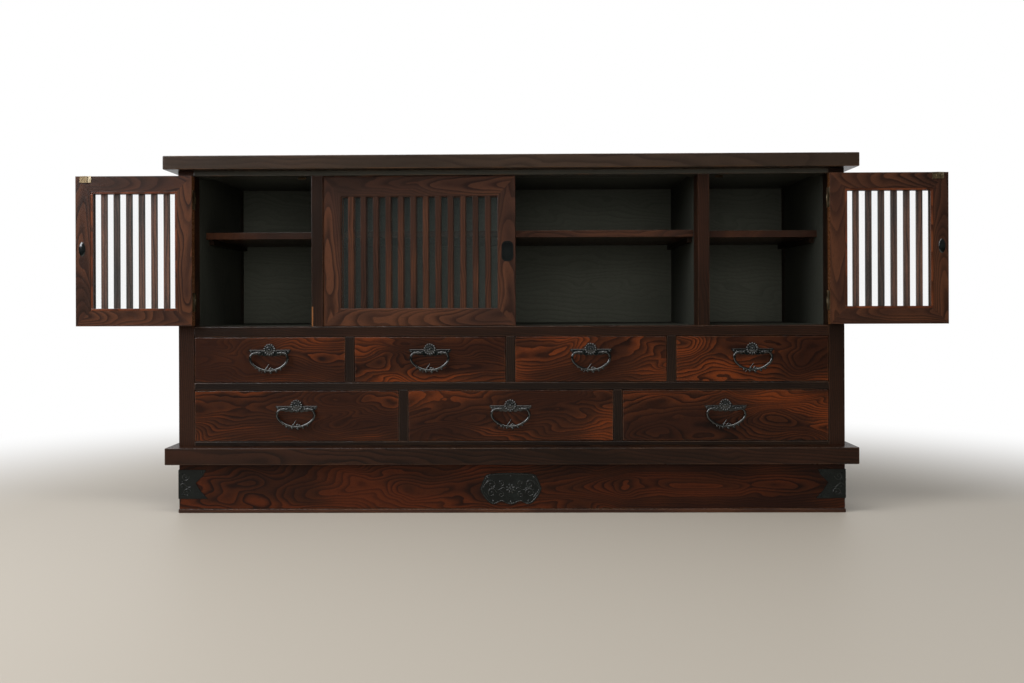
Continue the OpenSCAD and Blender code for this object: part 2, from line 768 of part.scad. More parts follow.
module sliding_door_shape(piece, pull_x) {
    w = sliding_w;
    h = sliding_h;
    low = slide_low_gap + low_groove - tongue_fit;
    high = slide_high_gap + high_groove - lift_room;
    if (piece == "frame") difference() {
        door_frame(w, h, sliding_stile_w, sliding_top_h, sliding_bottom_h, low, high);
        translate([pull_x, 0, h / 2]) pull_recess();
    }
    if (piece == "lattice")
        door_lattice(w, h, sliding_stile_w, sliding_top_h, sliding_bottom_h, sliding_bars);
    if (piece == "glass") door_glass(w, h, sliding_stile_w, sliding_top_h, sliding_bottom_h);
    if (piece == "pull") translate([pull_x, 0, h / 2]) cup_pull();
}

// The right-hand door runs in the front track and the left-hand one in the rear track
module sliding_door(side, piece) color(piece_colour(piece)) at_front()
    translate([sliding_rest_x, side == "right" ? front_track_y : rear_track_y, sliding_z])
        sliding_door_shape(piece, side == "right" ? sliding_w - pull_in : pull_in);

// Drawers, drawn from the middle of their opening's lower front edge

module drawer_front(w, h) color(RED_LACQUER)
    board([-w / 2 + front_gap, w / 2 - front_gap], [0, front_t], [front_gap, h - front_gap]);

module drawer_box(w, h) color(PALE_WOOD) {
    x = w / 2 - front_gap;
    inside = x - box_side_t - glue_line;
    depth = [front_t, front_t + box_d];
    side_z = [box_lift, h - box_drop];
    both_sides() board([x - box_side_t, x], depth, side_z);
    board([-inside, inside], [depth[1] - box_side_t, depth[1]], side_z);
    board([-inside, inside], [depth[0], depth[1] - box_side_t - glue_line],
          [box_bottom_up, box_bottom_up + box_bottom_t]);
}

module at_pivot(h) translate([0, 0, h / 2 + pivot_up]) children();

module rosette_outline() translate([0, rosette_up]) {
    circle(rosette_r);
    for (i = [0:rosette_lobes - 1])
        rotate(360 / rosette_lobes * (i + 0.5)) translate([rosette_r, 0]) circle(rosette_lobe_r);
}

// The bar with its rounded ends, the rosette, and the two ears that hold the bail
module handle_plate(h) color(IRON) at_pivot(h) {
    bar_mid = plate_bar_up - plate_bar_h / 2;
    end_r = plate_bar_h / 2;
    upright_plate(plate_t) {
        translate([0, bar_mid]) square([plate_w - 2 * end_r, plate_bar_h], center = true);
        for (x = [-1, 1]) translate([x * (plate_w / 2 - end_r), bar_mid]) circle(end_r);
        rosette_outline();
    }
    translate([0, -plate_t, rosette_up]) upright_plate(plate_t) circle(rosette_r * 0.55);
    both_sides() {
        ear();
        translate([plate_w / 2 - end_r, -plate_t, bar_mid]) nail_head();
    }
}

module ear() difference() {
    union() {
        board([ear_x - ear_w / 2, ear_x + ear_w / 2], [-pivot_out, 0], [-rod_r, rod_r]);
        translate([ear_x - ear_w / 2, -pivot_out, 0]) rotate([0, 90, 0]) cylinder(r = ear_r, h = ear_w);
    }
    translate([ear_x - ear_w, -pivot_out, 0]) rotate([0, 90, 0]) cylinder(r = rod_r, h = 2 * ear_w);
}

// A piece of bent rod in the XZ plane: an arc of radius r about (x, z) from a0 over the turn
module bent_rod(x, z, r, a0, turn) {
    translate([x, 0, z]) rotate([90, 0, 0]) rotate([0, 0, a0])
        rotate_extrude(angle = turn) translate([r, 0]) circle(rod_r);
}

// A straight piece of rod along the pivot
module pivot_rod(r, x0, x1) translate([x0, 0, 0]) rotate([0, 90, 0]) cylinder(r = r, h = x1 - x0);

// One end of the bail, in its ear, and the two bends below it, with a slight collar where one bend
// runs into the next
module bail_half() {
    ball_x = ear_x - ear_w / 2 - ear_gap - ball_r;
    outside = ear_x + ear_w / 2 + ear_gap;
    shoulder_x = bail_half_w - bail_shoulder_r;
    pivot_rod(rod_end_r, ball_x, outside + rod_r);
    pivot_rod(rod_r, outside, shoulder_x);
    translate([ball_x, 0, 0]) sphere(ball_r);
    bent_rod(shoulder_x, -bail_shoulder_r, bail_shoulder_r, 0, 90);
    bent_rod(bail_side_x, -bail_shoulder_r, bail_side_r, -bail_turn, bail_turn);
    low = bail_low_point(90 - bail_turn);
    for (p = [[shoulder_x, 0], [bail_half_w, -bail_shoulder_r], low])
        translate([p[0], 0, p[1]]) sphere(collar_r);
}

// A point on the lowest stretch, at the angle a from straight down
function bail_low_point(a) = [bail_low_r * sin(a), bail_low_z - bail_low_r * cos(a)];

module bail(h) color(IRON) at_pivot(h) translate([0, -pivot_out, 0]) {
    bent_rod(0, bail_low_z, bail_low_r, bail_turn - 180, 180 - 2 * bail_turn);
    both_sides() {
        bail_half();
        for (a = [8, 17]) {
            p = bail_low_point(a);
            translate([p[0], 0, p[1] - leaf_bead_r * 0.5]) sphere(leaf_bead_r);
        }
    }
    translate([0, 0, -bail_drop]) {
        sphere(rod_r * 1.5);
        cylinder(r1 = rod_r * 1.25, r2 = rod_r * 0.4, h = sprout_h);
    }
}

module drawer_piece(piece, w, h) {
    if (piece == "front") drawer_front(w, h);
    if (piece == "box") drawer_box(w, h);
    if (piece == "handle_plate") handle_plate(h);
    if (piece == "bail") bail(h);
}

module upper_drawer(i, piece) at_front() translate([row_x(upper_count, i), 0, upper_row_z])
    drawer_piece(piece, row_w(upper_count), upper_row_h);

module lower_drawer(i, piece) at_front() translate([row_x(lower_count, i), 0, lower_row_z])
    drawer_piece(piece, row_w(lower_count), lower_row_h);

top_board();
side_panels();
back_panel();
corner_posts();
front_rails();
bay_dividers();
bay_shelves();
drawer_partitions();
dust_boards();
waist_board();
plinth_boards();
plinth_sole();
plinth_irons();
hinge_leaves_and_strikes();
for (side = DOOR_SIDES, piece = HINGED_PIECES)
    hinged_door(side, piece);
for (side = DOOR_SIDES, piece = SLIDING_PIECES)
    sliding_door(side, piece);
for (i = [1:upper_count], piece = DRAWER_PIECES)
    upper_drawer(i, piece);
for (i = [1:lower_count], piece = DRAWER_PIECES)
    lower_drawer(i, piece);
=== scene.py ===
"""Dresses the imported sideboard: lacquered boards with eased arrises, lattice doors and ironware."""

import math
import random
from functools import partial

import bmesh
import bpy
from bpy.props import FloatProperty, FloatVectorProperty, PointerProperty
from mathutils import Matrix, Vector


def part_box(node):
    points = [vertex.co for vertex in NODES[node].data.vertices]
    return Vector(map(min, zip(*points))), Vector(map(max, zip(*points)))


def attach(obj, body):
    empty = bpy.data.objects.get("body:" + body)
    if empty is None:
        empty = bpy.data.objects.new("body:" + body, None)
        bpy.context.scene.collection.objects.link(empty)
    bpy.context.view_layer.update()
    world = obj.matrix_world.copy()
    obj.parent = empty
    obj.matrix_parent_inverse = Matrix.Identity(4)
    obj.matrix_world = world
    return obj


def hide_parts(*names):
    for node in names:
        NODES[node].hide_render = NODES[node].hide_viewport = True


bl_info = {
    "name": "Lattice Door Sideboard",
    "version": (1, 0, 0),
    "blender": (4, 5, 0),
    "location": "3D View > Sidebar > Sideboard",
    "description": "Builds the visible pieces and finishes of a low lattice door sideboard",
    "category": "Object",
}

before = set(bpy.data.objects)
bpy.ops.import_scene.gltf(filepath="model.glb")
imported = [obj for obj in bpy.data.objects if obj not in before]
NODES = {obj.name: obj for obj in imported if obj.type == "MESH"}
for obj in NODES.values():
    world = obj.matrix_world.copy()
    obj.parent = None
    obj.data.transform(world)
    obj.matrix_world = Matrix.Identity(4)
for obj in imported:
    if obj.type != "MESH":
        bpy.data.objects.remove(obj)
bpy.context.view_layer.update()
MM = 0.001

SIDES = ("left", "right")
DRAWERS = [f"upper_drawer_{i}" for i in range(1, 5)] + [f"lower_drawer_{i}" for i in range(1, 4)]

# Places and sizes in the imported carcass, in metres
DRAWER_RAILS_TOP, HEAD_RAIL_BOTTOM = 0.46, 0.8
LINING_ACROSS, LINING_DEEP = 0.845, 0.2
CLEAT_WIDTH, KNOCK_TOP = 0.1, 0.54

# Material slots of the record
RED_WOOD, DARK_WOOD = "red_lacquered_wood", "dark_lacquered_wood"
STAINED_WOOD, PALE_WOOD = "stained_interior_wood", "pale_drawer_wood"


def linear(code):
    """An sRGB hex value as linear red, green and blue."""
    parts = [int(code[i : i + 2], 16) / 255 for i in (1, 3, 5)]
    return tuple(c / 12.92 if c <= 0.04045 else ((c + 0.055) / 1.055) ** 2.4 for c in parts)


def times(colour, factor):
    """A lighter or darker linear colour."""
    return tuple(c * factor for c in colour)


# Settings


def colour_setting(name, description, code):
    """A colour that the user may change."""
    return FloatVectorProperty(
        name=name, description=description, subtype="COLOR", size=3, min=0, max=1, default=linear(code))


def length_setting(name, description, low, high, usual):
    """A length that the user may change, given in millimetres."""
    return FloatProperty(
        name=name, description=description, unit="LENGTH", min=low * MM, max=high * MM, default=usual * MM)


class SideboardColours(bpy.types.PropertyGroup):
    """Base colours of the finishes"""

    red_lacquer: colour_setting("Red Lacquer", "Earlywood colour of the drawer fronts", "#3A1C0C")
    dark_lacquer: colour_setting("Dark Lacquer", "Earlywood colour of the carcass", "#28170E")
    stain: colour_setting("Interior Stain", "Colour of the inside of the bays", "#4B4D45")
    iron: colour_setting("Iron", "Colour of the blackened ironware", "#101413")


class SideboardSizes(bpy.types.PropertyGroup):
    """Sizes of the details that the plain solids leave out"""

    board_arris: length_setting("Board Arris", "Width of the eased edges of carcass boards", 0.3, 4, 1.5)
    drawer_arris: length_setting("Drawer Arris", "Width of the eased edges of drawer fronts", 0.3, 3, 2.2)
    door_arris: length_setting("Door Arris", "Width of the eased edges of door frames", 0.3, 3, 0.9)
    window_chamfer: length_setting("Window Chamfer", "Width of the chamfer round each window", 0.5, 4, 2.6)
    ring_spacing: length_setting("Ring Spacing", "Mean spacing of the growth rings", 2, 20, 5.5)


# Materials

MATH, VECTOR, RANGE = "ShaderNodeMath", "ShaderNodeVectorMath", "ShaderNodeMapRange"
NOISE, RAMP, MIX = "ShaderNodeTexNoise", "ShaderNodeValToRGB", "ShaderNodeMix"
PARTS, JOIN, COORDINATES = "ShaderNodeSeparateXYZ", "ShaderNodeCombineXYZ", "ShaderNodeTexCoord"
SHADER, SURFACE = "ShaderNodeBsdfPrincipled", "ShaderNodeOutputMaterial"


def add_node(tree, kind, links=(), stops=(), **settings):
    """Adds a node. links lists its first inputs, or maps an input's name or number to what it gets: a
    value, another node's output, or a node, for its first output. stops are a Color Ramp's (place, linear
    colour or grey value)."""
    node = tree.nodes.new(kind)
    for key, value in settings.items():
        setattr(node, key, value)
    for key, value in links.items() if isinstance(links, dict) else enumerate(links):
        socket = node.inputs[key]
        if isinstance(value, bpy.types.Node):
            value = value.outputs[0]
        if isinstance(value, bpy.types.NodeSocket):
            tree.links.new(value, socket)
        else:
            socket.default_value = (*value, 1.0) if socket.type == "RGBA" and len(value) == 3 else value
    if stops:
        marks = node.color_ramp.elements
        while len(marks) < len(stops):
            marks.new(0.5)
        for mark, (place, tone) in zip(marks, stops):
            mark.position = place
            mark.color = (*(tone if isinstance(tone, tuple) else (tone,) * 3), 1.0)
    return node


def new_material(name):
    """An empty material, and the function that adds nodes to it."""
    material = bpy.data.materials.new(name)
    material.use_nodes = True
    material.node_tree.nodes.clear()
    return material, partial(add_node, material.node_tree)


def timber_material(name, tones, figure, ring, gloss, coat, wear=0.2, pore_depth=0.2 * MM):
    """Open-grained hardwood in plain-sawn boards. tones are its base, light, dark and line colours. The
    attribute "grain" holds the place in the log: along it, and across and behind the board from its pith.
    "board" is a number for each board. "arris" is 1 on eased edges, over 1 where a knock has taken the lacquer
    off and on a hinged door's hinge edge, where the paler tone is painted light, and -1 where a board is
    stained like the inside of the bays."""
    base, light, dark, line = (linear(c) if isinstance(c, str) else c for c in tones)
    bare, stain = linear("#744823"), times(bpy.context.scene.sideboard_colours.stain, 1.1)
    material, add = new_material(name)
    grain, board, arris = (
        add("ShaderNodeAttribute", attribute_name=key).outputs[part]
        for key, part in (("grain", "Vector"), ("board", "Fac"), ("arris", "Fac"))
    )
    seed = add(VECTOR, {0: (3.1, 7.7, 5.3), "Scale": board}, operation="SCALE")
    place = add(VECTOR, [grain, seed], operation="ADD")
    swirl, ripple, tone, depth, pores, rub, smudge = (
        add(NOISE, {"Vector": add(VECTOR, [place, waves], operation="MULTIPLY"), "Scale": 1.0,
                    "Detail": detail, "Roughness": roughness, "Distortion": distortion})
        for waves, detail, roughness, distortion in (
            # Waves per metre along, across and behind the board
            ((4.6, 11, 11), 0.6, 0.4, 0.9),  # swirls of the rings, 220 by 90 mm
            ((22, 45, 45), 1.5, 0.5, 0.0),  # ripples in them, 45 by 22 mm
            ((2.6, 7, 7), 2, 0.55, 0.4),  # tones, 380 by 140 mm
            ((3.2, 7, 7), 1, 0.5, 0.0),  # stretches with faint rings, 310 by 140 mm
            ((90, 1400, 1400), 2, 0.5, 0.0),  # open pores, 11 by 0.7 mm, twice as wide as they are
            ((14, 30, 30), 4, 0.5, 0.0),  # rubbed stretches of an arris, 70 mm
            ((7, 9, 9), 3, 0.5, 0.0),  # smudges in the gloss, 140 by 110 mm
        )
    )

    # Growth rings round the pith: they end in dark latewood, sharp on its outer side
    across = add(PARTS, [grain]).outputs
    radial = add(JOIN, {"Y": across["Y"], "Z": across["Z"]})
    radius = add(VECTOR, [radial], operation="LENGTH").outputs["Value"]
    ripples = 0.09 * figure
    centred = add(MATH, [radius, (figure + ripples) / 2], operation="SUBTRACT")
    swirled = add(MATH, [swirl, figure, centred], operation="MULTIPLY_ADD")
    warped = add(MATH, [ripple, ripples, swirled], operation="MULTIPLY_ADD")
    count = add(MATH, [warped, ring], operation="DIVIDE")
    phase = add(MATH, [count], operation="FRACT")
    latewood = [(0.0, 0.1), (0.04, 1.0), (0.22, 0.8), (0.42, 0.28), (0.75, 0.0), (1.0, 0.1)]
    rings = add(RAMP, [phase], latewood)
    whole = add(MATH, [count], operation="FLOOR")
    first = add(MATH, [board, 31.0], operation="MULTIPLY")
    year = add(MATH, [whole, first], operation="ADD")
    chance = add("ShaderNodeTexWhiteNoise", {"W": year}, noise_dimensions="1D").outputs["Value"]

    # Slow changes of tone, so that one end of a board glows and the other stays dull, and each ring its own
    lean = add(MATH, [chance, 0.14, -0.07], operation="MULTIPLY_ADD")
    drift = add(MATH, [phase, 0.1, lean], operation="MULTIPLY_ADD")
    glow = add(MATH, [tone, drift], operation="ADD")
    body = add(RAMP, [glow], [(0.4, dark), (0.54, base), (0.72, light)])
    clear = add(RAMP, [depth], [(0.3, 0.5), (0.6, 1.0)])
    drawn = add(MATH, [chance, 0.55, 0.45], operation="MULTIPLY_ADD")
    faded = add(MATH, [rings, clear], operation="MULTIPLY")
    strength = add(MATH, [faded, drawn], operation="MULTIPLY")
    figured = add(MIX, {0: strength, 6: body, 7: line}, data_type="RGBA").outputs[2]
    pored = add(RAMP, [pores], [(0.52, 0.0), (0.66, 1.0)])
    fleck = add(MATH, [pored, 0.35], operation="MULTIPLY")
    flecked = add(MIX, {0: fleck, 6: figured, 7: times(line, 0.45)}, data_type="RGBA").outputs[2]

    # Lacquer wears to the wood along the arrises, and a hinge edge takes the same paler tone as painted light
    patchy = add(MATH, [arris, add(RAMP, [rub], [(0.42, 0.0), (0.62, 1.0)])], operation="MULTIPLY")
    worn = add(MATH, [patchy, wear], operation="MULTIPLY")
    # Above 1 this bares a knocked arris, and on a hinge edge it is painted light
    knocked = add(MATH, [arris, 1.0], operation="SUBTRACT")
    bared_and_painted_light = add(MATH, [worn, knocked], operation="MAXIMUM")
    lacquered = add(MIX, {0: bared_and_painted_light, 6: flecked, 7: bare}, data_type="RGBA").outputs[2]
    stained = add(MATH, [arris, -1.0], operation="MULTIPLY")
    colour = add(MIX, {0: stained, 6: lacquered, 7: stain}, data_type="RGBA").outputs[2]

    # Hands and dust cloths polish the arrises, most of all those that face up
    touched = add(MATH, [arris, 1.0], operation="MINIMUM")
    facing = add(PARTS, [add("ShaderNodeNewGeometry").outputs["Normal"]]).outputs["Z"]
    upward = add(RANGE, [facing, -0.15, 0.15, 0.0, 0.9])
    shine = add(MATH, [touched, upward, 0.13], operation="MULTIPLY_ADD")
    smudged = add(MATH, [smudge, 0.12, gloss - 0.06], operation="MULTIPLY_ADD")
    handled = add(MATH, [touched, -0.14, smudged], operation="MULTIPLY_ADD")
    rough = add(MATH, [pored, 0.1, handled], operation="MULTIPLY_ADD")
    raised = add(MATH, [rings, -0.25], operation="MULTIPLY")
    height = add(MATH, [raised, pored], operation="SUBTRACT")
    bump = add("ShaderNodeBump", {"Strength": 0.5, "Distance": pore_depth, "Height": height})
    shader = add(SHADER, {
        "Base Color": colour, "Roughness": rough, "Specular IOR Level": shine, "Coat Weight": coat,
        "Coat Roughness": 0.26, "Normal": bump})
    add(SURFACE, [shader])
    return material


def iron_material(name, colour, shine, coat):
    """Hammered wrought iron under a baked black lacquer: nearly black, with small bright glints."""
    material, add = new_material(name)
    place = add(COORDINATES).outputs["Object"]
    hammer, scale, patina = (
        add(NOISE, {"Vector": place, "Scale": waves, "Detail": detail})
        for waves, detail in (
            # Waves per metre
            (320.0, 2.0),  # hammer marks 3 mm across
            (1900.0, 2.0),  # fine scale, 0.5 mm
            (45.0, 4.0),  # patches of patina, 22 mm
        )
    )
    tint = add(RAMP, [patina], [(0.3, times(colour, 0.6)), (0.6, colour), (0.85, times(colour, 2.2))])
    height = add(MATH, [scale, 0.25, hammer], operation="MULTIPLY_ADD")
    shader = add(SHADER, {
        "Base Color": tint, "Specular IOR Level": shine, "Coat Weight": coat, "Coat Roughness": 0.07,
        "Roughness": add(MATH, [patina, 0.12, 0.08], operation="MULTIPLY_ADD"),
        "Normal": add("ShaderNodeBump", {"Strength": 0.05, "Distance": 0.2 * MM, "Height": height})})
    add(SURFACE, [shader])
    return material


def sheet_metal_material(name, deep, middle, high):
    """Pressed sheet metal, dulled by age, with a patina in patches of 17 mm."""
    material, add = new_material(name)
    patina = add(NOISE, {"Vector": add(COORDINATES).outputs["Object"], "Scale": 60.0, "Detail": 4.0})
    tint = add(RAMP, [patina], [(0.35, linear(deep)), (0.55, linear(middle)), (0.75, linear(high))])
    rough = add(MATH, [patina, 0.25, 0.25], operation="MULTIPLY_ADD")
    shader = add(SHADER, {"Base Color": tint, "Metallic": 0.9, "Roughness": rough})
    add(SURFACE, [shader])
    return material


def glass_material(name):
    """Float glass with a little dust on it, in patches of 33 mm."""
    material, add = new_material(name)
    dust = add(NOISE, {"Vector": add(COORDINATES).outputs["Object"], "Scale": 30.0, "Detail": 5.0})
    rough = add(MATH, [dust, 0.09], operation="MULTIPLY")
    shader = add(SHADER, {"Base Color": linear("#7C8683"), "Roughness": rough, "IOR": 1.5, "Alpha": 0.05})
    add(SURFACE, [shader])
    return material


def finish_material(name):
    """Makes each material once."""
    if name in bpy.data.materials:
        return bpy.data.materials[name]
    colours = bpy.context.scene.sideboard_colours
    red, dark, stain, iron = (
        tuple(getattr(colours, key)) for key in ("red_lacquer", "dark_lacquer", "stain", "iron"))
    ring = bpy.context.scene.sideboard_sizes.ring_spacing
    pale = linear("#A98A60")
    # For timber: base, light, dark and line colours, swing and spacing of the rings, roughness, coat, wear
    maker, *given = {
        # Strongly figured hardwood, ragged growth rings, wiped red-brown lacquer rubbed to a satin gloss
        "Red_Lacquered_Hardwood": (
            timber_material, (red, "#672E0E", "#2C1409", "#0A0403"), 0.08, ring, 0.36, 0.1, 0.16),
        # The plinth's boards, of the same stock, rougher, without coat and darker: the darker colour is painted
        # shade for the low plinth
        "Dulled_Lacquered_Hardwood": (
            timber_material, ("#321709", "#491F0B", "#231009", "#0F0604"), 0.06, ring, 0.46, 0.0),
        # Milder, finer stock of the same wood and lacquer, as picked for door frames and shelves
        "Plain_Lacquered_Hardwood": (
            timber_material, ("#3B241A", "#50301F", "#301F17", "#1A100C"), 0.019, ring * 0.62, 0.36, 0.12),
        # Glazing beads in a paler, redder copy of the lacquer, and bars in a paler, greyer one
        "Thin_Lacquered_Bead": (
            timber_material, ("#5A2D1A", "#6B3920", "#4A2819", "#2A1810"), 0.01, ring, 0.36, 0.12, 0.3),
        # The bars' grey is painted reflection from the glass in front of them
        "Thin_Lacquered_Bar": (
            timber_material, ("#503C35", "#69493B", "#383534", "#261D1A"), 0.01, ring, 0.4, 0.12),
        # The same wood under several darker coats, so that the rings only just show
        "Dark_Lacquered_Hardwood": (
            timber_material, (dark, "#301B11", "#1D110A", "#130B07"), 0.02, ring, 0.42, 0.08, 0.15),
        # Rails and partitions between the drawers, stained nearly black under the lacquer
        "Ebonised_Lacquered_Hardwood": (
            timber_material, ("#1E140E", "#251911", "#18100C", "#120C09"), 0.015, ring, 0.45, 0.05, 0.15),
        # The top board, polished pale by use
        "Polished_Lacquered_Hardwood": (
            timber_material, ("#34281F", "#3A2C22", "#2F251D", "#271D17"), 0.015, ring, 0.34, 0.2),
        # The head rail, in a paler, greyer copy of the lacquer: painted light and reflection for a rail that
        # sits in the shade of the top board
        "Charcoal_Lacquered_Rail": (
            timber_material, ("#38362F", "#3C3932", "#33312B", "#2B2924"), 0.015, ring, 0.34, 0.2),
        # Thin boards with one matt coat of charcoal stain, which lets a broad figure through
        "Charcoal_Stained_Board": (
            timber_material, [times(stain, k) for k in (1.12, 1.2, 1.05, 0.92)], 0.09, ring * 2.6, 0.62, 0.0,
            0.0, 0.02 * MM),
        # The linings beside them and the floors of the bays, in the interior stain at about half its
        # brightness: painted shade for the inside of the bays
        "Black_Stained_Lining": (
            timber_material, [times(stain, k) for k in (0.55, 0.6, 0.5, 0.45)], 0.03, ring * 2.6, 0.62, 0.0,
            0.0, 0.02 * MM),
        # Bare planed paulownia: pale, straight-grained and matt
        "Bare_Paulownia": (
            timber_material, (pale, times(pale, 1.12), times(pale, 0.85), "#806342"), 0.006, 7 * MM, 0.72,
            0.0, 0.0),
        # Hammered iron, baked with lacquer and polished by hands, so that it glints on every bend
        "Blackened_Wrought_Iron": (iron_material, iron, 0.72, 0.5),
        # The same iron near the floor, which nothing polishes, flat black
        "Dull_Wrought_Iron": (iron_material, iron, 0.22, 0.0),
        # Its chased lines, rubbed by dust cloths to a faint grey shine
        "Rubbed_Wrought_Iron": (iron_material, times(iron, 1.5), 0.6, 0.5),
        # Brass catches, brown in the hollows and still yellow where they are touched
        "Aged_Pressed_Brass": (sheet_metal_material, "#55462F", "#8F7D60", "#C9BB9E"),
        # Steel leaves, browned by heat and oil, which hardly stand out from the wood
        "Browned_Steel": (sheet_metal_material, "#2C2118", "#4A3A28", "#6A5638"),
        # Clear float glass, seen straight through, with the surface reflection of a thin pane
        "Clear_Float_Glass": (glass_material,),
    }[name]
    return maker(name, *given)


# Boards


def islands(node):
    """The solids of a CAD node as separate meshes, merged and with flat faces made whole."""
    whole = bmesh.new()
    whole.from_mesh(NODES[node].data)
    bmesh.ops.remove_doubles(whole, verts=whole.verts, dist=0.002 * MM)
    bmesh.ops.dissolve_limit(whole, angle_limit=math.radians(0.4), verts=whole.verts, edges=whole.edges)
    whole.faces.ensure_lookup_table()
    seen, found = set(), []
    for start in whole.faces:
        if start.index in seen:
            continue
        group, stack = [], [start]
        seen.add(start.index)
        while stack:
            face = stack.pop()
            group.append(face)
            for other in (other for edge in face.edges for other in edge.link_faces):
                if other.index not in seen:
                    seen.add(other.index)
                    stack.append(other)
        part, copies = bmesh.new(), {}
        for face in group:
            for v in face.verts:
                if v.index not in copies:
                    copies[v.index] = part.verts.new(v.co)
            part.faces.new([copies[v.index] for v in face.verts])
        part.normal_update()
        found.append(part)
    whole.free()
    return found


def limits(part):
    """A mesh's lowest and highest corners."""
    return (Vector([pick(v.co[k] for v in part.verts) for k in range(3)]) for pick in (min, max))


def filed(shape, edges, width):
    """Files edges round, to a width."""
    return bmesh.ops.bevel(
        shape, geom=edges, offset=width, segments=2, profile=0.6, affect="EDGES", clamp_overlap=True)


def ease(part, width):
    """Eases the arrises that lie along the board's own outline."""
    low, high = limits(part)
    near = 0.01 * MM

    def outer(v):
        """The faces of the bounding box that a vertex lies on."""
        return {
            (k, side) for k in range(3) for side, box in enumerate((low, high))
            if abs(v.co[k] - box[k]) < near}

    picked = [edge for edge in part.edges if len(outer(edge.verts[0]) & outer(edge.verts[1])) >= 2]
    if not picked:
        return
    made = filed(part, picked, width)
    layer = part.faces.layers.float["arris"]
    for face in made["faces"]:
        if face.is_valid:
            face[layer] = 1.0


def sliced(part, *cuts):
    """Cuts a board's faces at planes of (place, direction)."""
    for spot, way in cuts:
        every = [*part.verts, *part.edges, *part.faces]
        bmesh.ops.bisect_plane(part, geom=every, plane_co=spot, plane_no=way)


def mark_arris(part, value, picks):
    """Gives the faces that picks(middle, normal) chooses a value of the attribute "arris"."""
    layer = part.faces.layers.float["arris"]
    for face in part.faces:
        if picks(face.calc_center_median(), face.normal):
            face[layer] = value


def grained(part, rng):
    """Gives a board its place in the log, and makes it a mesh."""
    low, high = limits(part)
    size, middle = high - low, (low + high) / 2
    along, across, through = sorted(range(3), key=lambda k: -size[k])
    offset = rng.uniform(-0.3, 0.3) * size[across]
    depth = rng.uniform(40 * MM, 90 * MM)
    lean = rng.choice((-1, 1)) * rng.uniform(0.03, 0.09)
    skew = rng.uniform(-0.05, 0.05)
    flip = rng.choice((-1, 1))
    grain = part.verts.layers.float_vector.new("grain")
    board = part.verts.layers.float.new("board")
    number = rng.uniform(0.0, 10.0)
    for v in part.verts:
        d = v.co - middle
        run = d[along] * flip
        v[grain] = Vector((run, d[across] - offset + skew * run, d[through] + depth + lean * run))
        v[board] = number
    return settled(part)


def timber(name, node, body, finish, slot, arris, seed, keep=None, knock=None, lined=None, extra=()):
    """Builds the boards of a CAD node with eased arrises and a grain of their own, and stands for it.
    keep picks the boards by their limits. knock is a height under which the left front arris is bare.
    lined holds the half sizes, across and deep, of the part of the underside that is stained."""
    rng = random.Random(seed)
    boards = []
    for part in islands(node):
        low, high = limits(part)
        if keep and not keep(low, high):
            part.free()
            continue
        part.faces.layers.float.new("arris")
        knocked = knock and high.x < 0
        wide, front = low.x + 4 * MM, low.y + 3 * MM
        if knocked:
            sliced(part, ((0, 0, knock), (0, 0, 1)), ((wide, 0, 0), (1, 0, 0)))
        ease(part, min(arris, 0.3 * min(high - low)))
        if knocked:
            mark_arris(part, 2.0, lambda spot, _: spot.x < wide and spot.y < front and spot.z < knock)
        if lined:
            x, y = lined
            sliced(
                part, *(((s * x, 0, 0), (1, 0, 0)) for s in (1, -1)),
                *(((0, s * y, 0), (0, 1, 0)) for s in (1, -1)))
            part.normal_update()
            mark_arris(
                part, -1.0, lambda spot, normal: normal.z < -0.9 and abs(spot.x) < x and abs(spot.y) < y)
        boards.append(grained(part, rng))
    boards += [grained(part, rng) for part in extra]
    return dressed(name, joined(name, *boards), body, finish_material(finish), [node])


def frame_member(window, margins, side, face, inward, section):
    """A mitred member of a door frame. window is (left, right, low, high), margins are the widths round it
    in that order, side is the member's place in it. section holds (distance from the window, depth)."""
    lie_x = side > 1
    sign = -1 if side in (0, 2) else 1
    ends = (0, 1) if lie_x else (2, 3)
    shape = bmesh.new()
    rows = []
    for out, deep in section:
        away = window[side] + sign * out
        row = []
        for end in ends:
            tip = window[end] + (-1 if end in (0, 2) else 1) * out * margins[end] / margins[side]
            x, z = (tip, away) if lie_x else (away, tip)
            row.append(shape.verts.new((x, face + inward * deep, z)))
        rows.append(row)
    for a, b in zip(rows, rows[1:] + rows[:1]):
        shape.faces.new((a[0], b[0], b[1], a[1]))
    for end in range(2):
        shape.faces.new([row[end] for row in rows])
    bmesh.ops.recalc_face_normals(shape, faces=shape.faces)
    return shape


def recessed(shape, cutter):
    """Cuts a closed mesh out of another."""
    mesh = bpy.data.meshes.new("stock")
    shape.to_mesh(mesh)
    shape.free()
    stock, tool = (bpy.data.objects.new(name, data) for name, data in (("stock", mesh), ("tool", cutter)))
    for part in (stock, tool):
        bpy.context.scene.collection.objects.link(part)
    cut = stock.modifiers.new("Recess", "BOOLEAN")
    cut.object, cut.operation, cut.solver = tool, "DIFFERENCE", "EXACT"
    view = bpy.context.evaluated_depsgraph_get()
    made = bpy.data.meshes.new_from_object(stock.evaluated_get(view), depsgraph=view)
    for part in (stock, tool):
        bpy.data.objects.remove(part)
    result = bmesh.new()
    result.from_mesh(made)
    return result


